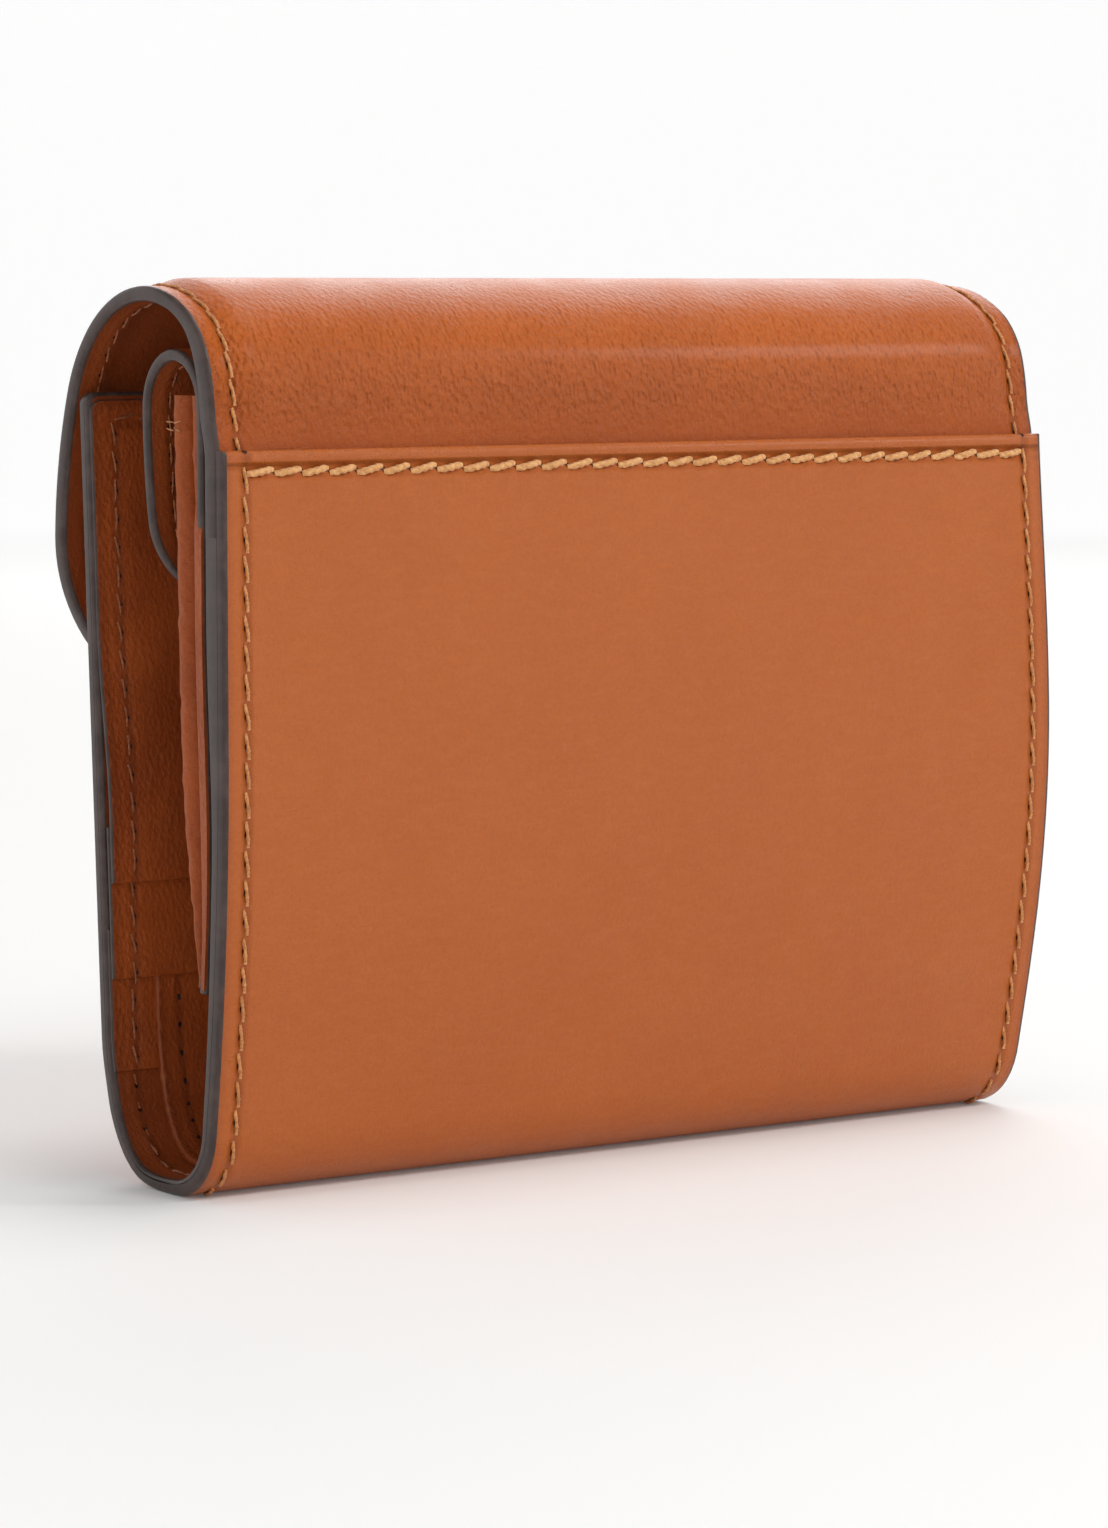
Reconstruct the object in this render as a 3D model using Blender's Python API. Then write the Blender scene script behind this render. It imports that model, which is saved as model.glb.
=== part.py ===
"""Trifold leather wallet, closed and standing on its bottom fold.

Metres, +Z up. X is the wallet's width, the back faces +Y, the closing flap hangs over the front at -Y.
The origin is under the middle of its box, on the surface that it stands on. Sizes below are in millimetres.
"""

import math

import bmesh
import bpy
from mathutils import Vector

MM = 0.001

# driving dimensions
WIDTH = 110.0
HEIGHT = 97.0
DEPTH = 37.7
LIP_HEIGHT = 79.2  # top edge of the slip pocket on the back

LEATHER = 1.0
LINING = 0.7
BOARD = 0.3  # stiffening board between leather and lining
SLOT_LEATHER = 0.5
GAP = 0.3  # clearance between layers that touch
FOLD_GAP = 0.35  # half the slit between two neighbouring pieces of a fold
FACET = 0.04  # how far a flat facet may stray from its arc

# side profile of the cover's outer face, as (radius, turn in degrees), from the pocket lip upwards
TOP_RISE = ((27.0, 15.0), (11.0, 43.0), (18.0, 102.0), (52.0, 17.0), (65.0, 21.0))
# the same from the lip downwards, for the outer face of the pocket strip
BACK_LEAN = (300.0, 8.0)
BACK_BEND = 8.5
FRONT_BEND = 9.0
FOOT = 5.8  # flat stretch under the bottom fold
FRONT_LEAN = 3.0
FRONT_TOP = 84.7

FLAP_CORNER = 23.0
FRONT_CORNER = 2.0
COIN_CORNER = 12.0

COIN_BOTTOM = 22.0
COIN_MOUTH = 85.2
COIN_BEND = 6.2
COIN_BEND_HEIGHT = 83.4
COIN_FLAP_DROP = 21.5
COIN_DROP_BEND = 70.0
LEAF_BELLY = (300.0, -6.5)

TOP_HINGES = ((6, 48), (48, 90), (90, 132), (132, 174))  # headings that each hinge straightens
BOTTOM_HINGES = ((-8, -49), (-49, -90), (-90, -133.5), (-133.5, -177))
COIN_HINGES = ((0, 90), (90, 180))

FINISHES = {
    "leather": ((0.45, 0.125, 0.035), 0.45, 0.0),
    "lining": ((0.22, 0.06, 0.02), 0.6, 0.0),
    "board": ((0.35, 0.27, 0.2), 0.8, 0.0),
    "snap": ((0.62, 0.52, 0.36), 0.3, 1.0),
}


class Path:
    """A chain of straight lines and arcs in the YZ plane, read by its length s or its heading.

    The heading is the angle of travel from +Z towards -Y, so the right-hand side of travel is outwards.
    """

    def __init__(self, y, z, heading, pieces, start=0.0):
        self.parts = []
        self.start = self.end = start
        for radius, amount in pieces:
            turn = math.radians(amount) if radius else 0.0
            length = abs(radius * turn) if radius else amount
            self.parts.append((self.end, length, y, z, math.radians(heading), turn))
            y, z, _ = self._step(self.parts[-1], length)
            heading += amount if radius else 0.0
            self.end += length

    @staticmethod
    def _step(part, along):
        _, length, y, z, heading, turn = part
        if abs(turn) < 1e-9:
            return y - along * math.sin(heading), z + along * math.cos(heading), heading
        radius = length / turn
        after = heading + along / radius
        return (y + radius * (math.cos(after) - math.cos(heading)),
                z + radius * (math.sin(after) - math.sin(heading)), after)

    def at(self, s, offset=0.0):
        """The point at length s, moved outwards by offset, with the heading in radians."""
        part = next((p for p in self.parts if s <= p[0] + p[1]), self.parts[-1])
        y, z, heading = self._step(part, s - part[0])
        return y + offset * math.cos(heading), z + offset * math.sin(heading), heading

    def heading_at(self, degrees):
        """The length s at which the path has this heading."""
        return self.find(lambda y, z, heading: heading - math.radians(degrees), self.start, self.end)

    def height_at(self, z, low, high):
        return self.find(lambda y, height, heading: height - z, low, high)

    def find(self, measure, low, high):
        rising = measure(*self.at(high)) > measure(*self.at(low))
        for _ in range(60):
            middle = (low + high) / 2
            if (measure(*self.at(middle)) < 0) == rising:
                low = middle
            else:
                high = middle
        return (low + high) / 2

    def breaks(self, s0, s1):
        """Lengths from s0 to s1: every joint between pieces, and arcs cut finely enough to stay within FACET."""
        found = {s0, s1}
        for begin, length, _, _, _, turn in self.parts:
            bend = abs(length / turn) if turn else math.inf
            count = max(1, math.ceil(abs(turn) / (2 * math.acos(1 - FACET / bend))) if turn else 1)
            found |= {begin + length * i / count for i in range(count + 1)}
        return [s for s in sorted(found) if s0 <= s <= s1]

    def unbend_axis(self, first, last, offset):
        """Where one hinge straightens the arc between two headings and keeps the length of its outer face."""
        s0, s1 = sorted((self.heading_at(first), self.heading_at(last)))
        (y0, z0, h0), (y1, z1, h1) = self.at(s0, offset), self.at(s1, offset)
        d0, d1 = (-math.sin(h0), math.cos(h0)), (-math.sin(h1), math.cos(h1))
        cross = d0[0] * d1[1] - d0[1] * d1[0]
        t0 = ((y1 - y0) * d1[1] - (z1 - z0) * d1[0]) / cross
        t1 = ((y1 - y0) * d0[1] - (z1 - z0) * d0[0]) / cross
        outer = (s1 - s0) + offset * (h1 - h0)
        reach = (t0 - t1 - outer) / (2 * math.sin((h1 - h0) / 2))
        middle = (h0 + h1) / 2
        return (y0 + t0 * d0[0] - reach * math.cos(middle), z0 + t0 * d0[1] - reach * math.sin(middle))


BACK_FACE = DEPTH / 2  # the pocket's outer face
PROUD = LEATHER + GAP  # the pocket strip lies this far outside the cover's outer face

radius, lean = BACK_LEAN
lean_angle = math.radians(lean)
straight_back = LIP_HEIGHT - radius * math.sin(lean_angle) - BACK_BEND * (1 - math.sin(lean_angle))
front_turn = 90.0 - FRONT_LEAN
front_rise = FRONT_BEND * (1 - math.cos(math.radians(front_turn)))
front_length = (FRONT_TOP - front_rise) / math.cos(math.radians(FRONT_LEAN))
down = ((0, straight_back), (radius - PROUD, lean), (BACK_BEND - PROUD, 90.0 - lean), (0, FOOT),
        (FRONT_BEND - PROUD, front_turn), (0, front_length))
down_length = sum(abs(r * math.radians(a)) if r else a for r, a in down)

# travel runs from the front panel's top edge down, round the bottom, up the back and over to the flap's tip
feet = Path(BACK_FACE - PROUD, -LIP_HEIGHT, 0.0, down)  # the same chain, upside down
foot_y, foot_z, foot_heading = feet.at(down_length)
rise = sum(r * (math.sin(math.radians(b)) - math.sin(math.radians(a)))
           for r, a, b in ((27.0, 0, 15), (11.0, 15, 58), (18.0, 58, 90)))
straight_top = HEIGHT - LIP_HEIGHT - rise
shell = Path(foot_y, -foot_z, -math.degrees(foot_heading), tuple(reversed(down)) + ((0, straight_top),) + TOP_RISE,
             start=-down_length)

COIN_FACE = BACK_FACE - PROUD - LEATHER - 2 * GAP - BOARD - GAP - LINING - GAP
lean_top = LIP_HEIGHT - straight_back
coin_lean = math.asin((lean_top - COIN_BOTTOM) / BACK_LEAN[0])
coin_radius = BACK_LEAN[0] - BACK_FACE + COIN_FACE
coin_start = COIN_FACE - coin_radius * (1 - math.cos(coin_lean))
coin_low = lean_top - coin_radius * math.sin(coin_lean)
coin = Path(coin_start, coin_low, -math.degrees(coin_lean),
            ((coin_radius, math.degrees(coin_lean)), (0, COIN_BEND_HEIGHT - lean_top), (COIN_BEND, 180.0),
             (COIN_DROP_BEND, math.degrees(COIN_FLAP_DROP / COIN_DROP_BEND))))
leaf = Path(coin_start - LEATHER - GAP, coin_low, 8.0, (LEAF_BELLY, (0, COIN_MOUTH - coin_low - 34.0)))

TOP_AXES = [shell.unbend_axis(a, b, 0.0) for a, b in TOP_HINGES]
BOTTOM_AXES = [shell.unbend_axis(a, b, PROUD) for a, b in BOTTOM_HINGES]
COIN_AXES = [coin.unbend_axis(a, b, 0.0) for a, b in COIN_HINGES]


def material(name):
    found = bpy.data.materials.get(name)
    if found is None:
        colour, roughness, metallic = FINISHES[name]
        found = bpy.data.materials.new(name)
        found.use_nodes = True
        shader = found.node_tree.nodes["Principled BSDF"]
        shader.inputs["Base Color"].default_value = (*colour, 1.0)
        shader.inputs["Roughness"].default_value = roughness
        shader.inputs["Metallic"].default_value = metallic
    return found


def add_object(name, mesh, finish, place=(0.0, 0.0)):
    """Places a mesh, built round the axis at place (y, z) in millimetres, as one named object."""
    obj = bpy.data.objects.new(name, mesh)
    obj.location = (0.0, place[0] * MM, place[1] * MM)
    own = material(finish).copy()
    own.name = name
    mesh.materials.append(own)
    bpy.context.scene.collection.objects.link(obj)
    return obj


def loft(name, rings, finish, place=(0.0, 0.0)):
    """One closed body through rings of points (x, y, z) in millimetres, each with the same number of points."""
    bm = bmesh.new()
    origin = Vector((0.0, place[0], place[1]))
    loops = [[bm.verts.new((Vector(p) - origin) * MM) for p in ring] for ring in rings]
    count = len(loops[0])
    for low, high in zip(loops, loops[1:]):
        for i in range(count):
            bm.faces.new((low[i], low[(i + 1) % count], high[(i + 1) % count], high[i]))
    bm.faces.new(tuple(reversed(loops[0])))
    bm.faces.new(tuple(loops[-1]))
    bmesh.ops.recalc_face_normals(bm, faces=bm.faces)
    mesh = bpy.data.meshes.new(name)
    bm.to_mesh(mesh)
    bm.free()
    return add_object(name, mesh, finish, place)


def half_width(s, inset, s0, s1, corner):
    """Half the sheet's width at s, with the corners rounded at the ends that have a radius in corner."""
    half = WIDTH / 2 - inset
    for distance, r in ((s - s0, corner[0]), (s1 - s, corner[1])):
        if r and distance < r:
            half = min(half, WIDTH / 2 - inset - r + math.sqrt(max(0.0, r * r - (r - distance) ** 2)))
    return half


def sheet(name, path, s0, s1, offset, thickness, finish, inset=0.0, corner=(0, 0), place=(0.0, 0.0)):
    """A layer along path: its outer face lies at offset, a number or a function of s, outside the path."""
    lengths = set(path.breaks(s0, s1))
    for end, sign, r in ((s0, 1, corner[0]), (s1, -1, corner[1])):
        lengths |= {end + sign * r * (1 - math.cos(math.radians(a))) for a in range(0, 91, 10) if r}
    if callable(offset):
        lengths |= {s0 + (s1 - s0) * i / 6 for i in range(7)}
    ordered = []
    for s in sorted(lengths):
        if not ordered or s - ordered[-1] > 0.02:
            ordered.append(s)
    rings = []
    for s in ordered:
        out = offset(s) if callable(offset) else offset
        half = half_width(s, inset, s0, s1, corner)
        yo, zo, _ = path.at(s, out)
        yi, zi, _ = path.at(s, out - thickness)
        rings.append(((-half, yo, zo), (half, yo, zo), (half, yi, zi), (-half, yi, zi)))
    return loft(name, rings, finish, place)


def blend(points):
    """A function that reads straight lines between (s, value) points."""
    def read(s):
        for (a, va), (b, vb) in zip(points, points[1:]):
            if s <= b:
                return va + (vb - va) * max(0.0, s - a) / (b - a)
        return points[-1][1]
    return read


def turned(name, path, s, base, profile, finish, place=(0.0, 0.0)):
    """A round piece on the path's normal at s: profile holds (radius, height), height counted outwards from base."""
    y, z, heading = path.at(s, base)
    out = Vector((0.0, math.cos(heading), math.sin(heading)))
    side = out.cross(Vector((1.0, 0.0, 0.0)))
    bm = bmesh.new()
    centre = Vector((0.0, y - place[0], z - place[1]))
    verts = [bm.verts.new((centre + side * r + out * h) * MM) for r, h in profile]
    edges = [bm.edges.new(pair) for pair in zip(verts, verts[1:])]
    if profile[0][0] > 0:
        edges.append(bm.edges.new((verts[-1], verts[0])))
    bmesh.ops.spin(bm, geom=verts + edges, cent=centre * MM, axis=out, angle=math.tau, steps=28,
                   use_duplicate=False)
    bmesh.ops.remove_doubles(bm, verts=bm.verts, dist=1e-6)
    bmesh.ops.recalc_face_normals(bm, faces=bm.faces)
    mesh = bpy.data.meshes.new(name)
    bm.to_mesh(mesh)
    bm.free()
    mesh.shade_smooth()
    mesh.set_sharp_from_angle(angle=math.radians(35))
    return add_object(name, mesh, finish, place)


def drill(path, s, radius, layers):
    """Bores one round hole, square to the path at s, through the named layers."""
    cutter = turned("cutter", path, s, 0.0, ((0, -8), (radius, -8), (radius, 4), (0, 4)), "board")
    cutter.hide_render = True
    cutter.display_type = "WIRE"
    for layer in layers:
        cut = layer.modifiers.new("snap hole", "BOOLEAN")
        cut.operation = "DIFFERENCE"
        cut.solver = "EXACT"
        cut.object = cutter


def axis_point(y, z):
    """The place of an object that turns about this axis."""
    return (y, z)


def fold_cuts(path, hinges):
    """The lengths at which the fold's hinges cut the path, at the middle heading of each."""
    return [path.heading_at((a + b) / 2) for a, b in hinges]


def build_back(top_cuts, bottom_cuts):
    lip_end = bottom_cuts[0] + FOLD_GAP
    top_end = top_cuts[0] - FOLD_GAP
    board_end = top_cuts[0] - 9.0
    board_offset = -LEATHER - GAP
    lining_offset = board_offset - BOARD - GAP
    lower = shell.height_at(14.0, -80.0, -10.0)
    sheet("back_pocket_panel", shell, lip_end, 0.0, PROUD, LEATHER, "leather")
    sheet("back_cover", shell, lower, top_end, 0.0, LEATHER, "leather")
    sheet("back_board", shell, lower, board_end, board_offset, BOARD, "board", inset=2.0)
    sheet("back_lining", shell, lip_end, top_end, lining_offset, LINING, "lining", inset=0.2)


def build_top_fold(cuts):
    lining_offset = -LEATHER - 2 * GAP - BOARD
    for i, (a, b) in enumerate(zip(cuts, cuts[1:])):
        place = axis_point(*TOP_AXES[i])
        s0, s1 = a + FOLD_GAP, b - FOLD_GAP
        sheet(f"top_fold_cover_{i + 1}", shell, s0, s1, 0.0, LEATHER, "leather", place=place)
        sheet(f"top_fold_lining_{i + 1}", shell, s0, s1, lining_offset, LINING, "lining", inset=0.2, place=place)


def build_flap(cut, snap):
    place = axis_point(*TOP_AXES[-1])
    s0, s1 = cut + FOLD_GAP, shell.end
    corner = (0, FLAP_CORNER)
    board_offset = -LEATHER - GAP
    lining_offset = board_offset - BOARD - GAP
    cover = sheet("flap_cover", shell, s0, s1, 0.0, LEATHER, "leather", corner=corner, place=place)
    board = sheet("flap_board", shell, s0 + 8.0, s1 - 3.0, board_offset, BOARD, "board", inset=3.0,
                  corner=(0, FLAP_CORNER - 3.0), place=place)
    lining = sheet("flap_lining", shell, s0, s1 - 0.2, lining_offset, LINING, "lining", inset=0.2,
                   corner=(0, FLAP_CORNER - 0.2), place=place)
    drill(shell, snap, SNAP["hole"], (cover, board, lining))
    build_snap_cap("flap_snap", shell, snap, lining_offset - LINING, place)


SNAP = {"cap": 6.2, "dome": 1.1, "shank": 1.2, "hole": 1.5, "socket": 4.6, "bore": 3.2, "stud": 1.6,
        "socket_height": 1.3, "flange": 4.4}


def build_snap_cap(name, path, s, inner, place):
    """The cap outside the flap, whose shank runs through it, and the socket inside."""
    cap, dome, shank = SNAP["cap"], SNAP["dome"], SNAP["shank"]
    rim = [(cap * math.cos(a), GAP + 0.35 + (dome - 0.35) * math.sin(a))
           for a in (math.radians(d) for d in range(0, 90, 15))]
    profile = [(0, inner - 0.5), (shank, inner - 0.5), (shank, GAP), (cap - 0.3, GAP), *rim, (0, GAP + dome)]
    turned(f"{name}_cap", path, s, 0.0, profile, "snap", place)
    top = inner - GAP
    foot = top - SNAP["socket_height"]
    outer, bore = SNAP["socket"], SNAP["bore"]
    ring = [(shank + GAP, top), (outer, top), (outer, top - 0.4), (outer - 0.6, foot), (bore, foot),
            (bore, top - 0.5), (shank + GAP, top - 0.5)]
    turned(f"{name}_socket", path, s, 0.0, ring, "snap", place)


def build_stud(name, path, s, face, height, outward, place=(0.0, 0.0)):
    """The stud on the panel that the flap closes on, with its shank through the leather, and the plate behind.

    face is the leather's outer face, outward is 1 where the stud stands on the path's outer side, -1 on its inner.
    """
    flange, stud, shank = SNAP["flange"], SNAP["stud"], SNAP["shank"]
    rows = [(0, -LEATHER - 0.55), (shank, -LEATHER - 0.55), (shank, GAP), (flange - 0.2, GAP), (flange, GAP + 0.25),
            (flange - 0.5, GAP + 0.5), (stud - 0.25, GAP + 0.55), (stud - 0.25, height - 0.9), (stud, height - 0.55),
            (stud - 0.35, height), (0, height)]
    turned(f"{name}_stud", path, s, face, [(r, h * outward) for r, h in rows], "snap", place)
    plate = [(shank + 0.2, -LEATHER - GAP), (3.6, -LEATHER - GAP), (3.6, -LEATHER - 0.6), (shank + 0.2, -LEATHER - 0.6)]
    turned(f"{name}_plate", path, s, face, [(r, h * outward) for r, h in plate], "snap", place)


def build_bottom_fold(cuts):
    """The strip under the wallet: outer leather, lining and the note divider inside it."""
    for i, (a, b) in enumerate(zip(cuts, cuts[1:])):
        place = axis_point(*BOTTOM_AXES[i])
        s0, s1 = b + FOLD_GAP, a - FOLD_GAP
        sheet(f"bottom_fold_outer_{i + 1}", shell, s0, s1, PROUD, LEATHER, "leather", place=place)
        sheet(f"bottom_fold_lining_{i + 1}", shell, s0, s1, inner_lining, LINING, "lining", inset=0.2, place=place)
        sheet(f"note_divider_{i + 1}", shell, s0, s1, divider, LINING, "lining", inset=5.6, place=place)
    back_end = cuts[0] + FOLD_GAP
    sheet("note_divider_back", shell, back_end, shell.height_at(20.0, -80.0, -10.0), divider, LINING, "lining",
          inset=5.6)
    sheet("note_divider_front", shell, shell.height_at(24.0, shell.start, cuts[-1]), cuts[-1] - FOLD_GAP, divider,
          LINING, "lining", inset=5.6, place=axis_point(*BOTTOM_AXES[-1]))


def inner_lining(s):
    """The lining's outer face: behind the cover and board at the back, straight behind the strip at the front."""
    cuts = fold_cuts(shell, BOTTOM_HINGES)
    return blend(((cuts[-1], PROUD - LEATHER - 2 * GAP - BOARD), (cuts[0], -LEATHER - 2 * GAP - BOARD)))(s)


def divider(s):
    return inner_lining(s) - LINING - GAP


def build_front(cut, snap):
    """The front panel with its three card slots, whose mouths face the bottom fold."""
    place = axis_point(*BOTTOM_AXES[-1])
    s0, s1 = shell.start, cut - FOLD_GAP
    corner = (FRONT_CORNER, 0)
    level = PROUD - LEATHER - GAP
    lining_level = level - BOARD - GAP

    def front(z):
        return shell.height_at(z, shell.start, cut)

    leather = sheet("front_panel", shell, s0, s1, PROUD, LEATHER, "leather", corner=corner, place=place)
    board = sheet("front_board", shell, s0 + 2.5, front(12.0), level, BOARD, "board", inset=3.0,
                  corner=(FRONT_CORNER / 2, 0), place=place)
    sheet("front_lining", shell, s0 + 0.2, s1, lining_level, LINING, "lining", inset=0.2, corner=corner, place=place)
    inside = lining_level - LINING - GAP
    step = SLOT_LEATHER + GAP
    third = blend(((front(60.0), inside), (front(25.0), inside - LINING - GAP), (front(11.6), inside - LINING - GAP)))
    second = blend(((front(60.0), inside), (front(44.0), inside), (front(33.0), inside - LINING - GAP - step),
                    (front(20.0), inside - LINING - GAP - step)))
    first = blend(((front(60.0), inside), (front(52.0), inside), (front(40.0), inside - LINING - GAP - 2 * step),
                   (front(30.0), inside - LINING - GAP - 2 * step)))
    for number, low, high, offset in ((1, 32.0, FRONT_TOP - 0.6, first), (2, 21.6, 39.0, second),
                                      (3, 11.6, 28.0, third)):
        high_s = front(high)
        rounded = (FRONT_CORNER, 0) if number == 1 else (0, 0)
        sheet(f"card_slot_{number}", shell, high_s, front(low), offset, SLOT_LEATHER, "leather", inset=1.0,
              corner=rounded, place=place)
    drill(shell, snap, SNAP["hole"], (leather,))
    drill(shell, snap, 4.2, (board,))
    build_stud("front_snap", shell, snap, PROUD, 3.1, 1, place)


def build_coin_pouch(coin_cuts, snap):
    """The coin pouch on the back panel: its back runs on over the mouth as the flap."""
    back_end = coin_cuts[0] - FOLD_GAP
    sheet("coin_pouch_back", coin, coin.start, back_end, 0.0, LEATHER, "leather", inset=1.0)
    front = sheet("coin_pouch_front", leaf, leaf.start, leaf.end, 0.0, LEATHER, "leather", inset=1.5)
    drill(leaf, snap, SNAP["hole"], (front,))
    for side, name in ((-1, "coin_gusset_left"), (1, "coin_gusset_right")):
        build_gusset(name, side)
    build_stud("coin_snap", leaf, snap, -LEATHER, 2.2, -1)


def build_gusset(name, side):
    """A bellows fold between the pouch's back and front, narrowing to the pouch's bottom."""
    rings = []
    wall = 0.6
    mouth = coin.heading_at(1.0)
    for i in range(9):
        s = leaf.start + 5.0 + (leaf.end - leaf.start - 6.0) * i / 8
        y, z, _ = leaf.at(s, GAP)
        inner = coin.at(coin.height_at(z, coin.start, mouth), -LEATHER - GAP)[0]
        depth = inner - y
        edge, fold = WIDTH / 2 - 2.2, min(4.5, 0.9 * depth)
        middle = (inner + y) / 2
        slant = min(0.45 * wall * 2, depth / 2 - 0.05)
        rings.append([(side * x, py, z) for x, py in (
            (edge, inner), (edge - fold, middle + 0.1), (edge - fold, middle - 0.1), (edge, y),
            (edge, y + slant), (edge - fold + 1.4 * wall, middle), (edge, inner - slant))])
    loft(name, rings, "leather")


def build_coin_flap(cuts, snap):
    fold_place, flap_place = axis_point(*COIN_AXES[0]), axis_point(*COIN_AXES[1])
    sheet("coin_fold", coin, cuts[0] + FOLD_GAP, cuts[1] - FOLD_GAP, 0.0, LEATHER, "leather", inset=1.0,
          place=fold_place)
    s0, s1 = cuts[1] + FOLD_GAP, coin.end
    cover = sheet("coin_flap", coin, s0, s1, 0.0, LEATHER, "leather", inset=1.0, corner=(0, COIN_CORNER),
                  place=flap_place)
    lining = sheet("coin_flap_lining", coin, s0, s1 - 0.2, -LEATHER - GAP, LINING, "lining", inset=1.2,
                   corner=(0, COIN_CORNER), place=flap_place)
    drill(coin, snap, SNAP["hole"], (cover, lining))
    build_snap_cap("coin_flap_snap", coin, snap, -LEATHER - GAP - LINING, flap_place)


def nearest(path, y, z, low, high):
    """The length s on path whose outward normal passes closest to the point (y, z)."""
    def along(py, pz, heading):
        return (py - y) * -math.sin(heading) + (pz - z) * math.cos(heading)
    return path.find(along, low, high)


def build():
    for obj in list(bpy.data.objects):
        bpy.data.objects.remove(obj, do_unlink=True)
    top, bottom = fold_cuts(shell, TOP_HINGES), fold_cuts(shell, BOTTOM_HINGES)
    coin_cuts = fold_cuts(coin, COIN_HINGES)
    flap_snap = shell.end - 10.0
    y, z, _ = shell.at(flap_snap, -4.0)
    front_snap = nearest(shell, y, z, shell.start, bottom[-1])
    coin_snap = coin.end - 12.0
    y, z, _ = coin.at(coin_snap, -3.4)
    leaf_snap = nearest(leaf, y, z, leaf.start, leaf.end)
    build_back(top, bottom)
    build_top_fold(top)
    build_flap(top[-1], flap_snap)
    build_bottom_fold(bottom)
    build_front(bottom[-1], front_snap)
    build_coin_pouch(coin_cuts, leaf_snap)
    build_coin_flap(coin_cuts, coin_snap)


build()
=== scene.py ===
import math

import bpy
import bmesh
import numpy as np
from mathutils import Matrix, Vector


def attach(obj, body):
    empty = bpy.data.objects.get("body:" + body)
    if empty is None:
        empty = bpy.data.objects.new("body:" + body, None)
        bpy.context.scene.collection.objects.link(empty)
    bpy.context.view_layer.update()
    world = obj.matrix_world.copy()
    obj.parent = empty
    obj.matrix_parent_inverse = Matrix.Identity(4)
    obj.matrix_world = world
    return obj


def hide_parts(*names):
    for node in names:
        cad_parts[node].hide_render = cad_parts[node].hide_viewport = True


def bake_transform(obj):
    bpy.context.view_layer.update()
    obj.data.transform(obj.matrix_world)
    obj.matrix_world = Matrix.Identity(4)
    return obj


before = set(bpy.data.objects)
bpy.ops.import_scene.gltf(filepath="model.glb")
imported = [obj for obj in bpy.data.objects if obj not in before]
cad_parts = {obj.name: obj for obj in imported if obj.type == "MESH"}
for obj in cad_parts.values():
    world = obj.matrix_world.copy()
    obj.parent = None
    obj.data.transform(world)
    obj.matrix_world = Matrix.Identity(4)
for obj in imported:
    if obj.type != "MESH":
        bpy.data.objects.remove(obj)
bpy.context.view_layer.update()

mm = 0.001

print("stage 1: side profile and fold hinges")

wallet = {
    "width": 110.0,
    "height": 97.0,
    "depth": 37.7,
    "lip": 79.2,  # height of the slip pocket's mouth
    "proud": 1.3,  # how far the pocket strip stands out from the cover
    "backLean": (300.0, 8.0),
    "backBend": 8.5,
    "frontBend": 9.0,
    "foot": 5.8,
    "frontLean": 3.0,
    "frontTop": 84.7,
    "crown": ((27.0, 15.0), (11.0, 43.0), (18.0, 102.0), (52.0, 17.0), (65.0, 21.0)),
    "topHinges": ((6, 48), (48, 90), (90, 132), (132, 174)),
    "bottomHinges": ((-8, -49), (-49, -90), (-90, -133.5), (-133.5, -177)),
}


class Path:
    # straight lines and arcs in the YZ plane; heading runs from +Z towards -Y, outside is right of travel
    def __init__(self, y, z, heading, pieces, start=0.0):
        self.parts = []
        self.start = self.end = start
        for radius, amount in pieces:
            turn = math.radians(amount) if radius else 0.0
            length = abs(radius * turn) if radius else amount
            part = (self.end, length, y, z, math.radians(heading), turn)
            self.parts.append(part)
            y, z, _ = self.step(part, length)
            heading += amount if radius else 0.0
            self.end += length

    def step(self, part, along):
        _, length, y, z, heading, turn = part
        if abs(turn) < 1e-9:
            return y - along * math.sin(heading), z + along * math.cos(heading), heading
        radius = length / turn
        after = heading + along / radius
        return (y + radius * (math.cos(after) - math.cos(heading)),
                z + radius * (math.sin(after) - math.sin(heading)), after)

    def at(self, s, offset=0.0):
        part = next((p for p in self.parts if s <= p[0] + p[1]), self.parts[-1])
        y, z, heading = self.step(part, s - part[0])
        return y + offset * math.cos(heading), z + offset * math.sin(heading), heading

    def search(self, measure, low, high):
        rising = measure(*self.at(high)) > measure(*self.at(low))
        for _ in range(50):
            middle = (low + high) / 2
            if (measure(*self.at(middle)) < 0) == rising:
                low = middle
            else:
                high = middle
        return (low + high) / 2

    def atHeading(self, degrees):
        return self.search(lambda y, z, h: h - math.radians(degrees), self.start, self.end)

    def atHeight(self, z, low, high):
        return self.search(lambda y, height, h: height - z, low, high)

    def point(self, s, offset=0.0, x=0.0):
        y, z, _ = self.at(s, offset)
        return Vector((x, y, z)) * mm


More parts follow.
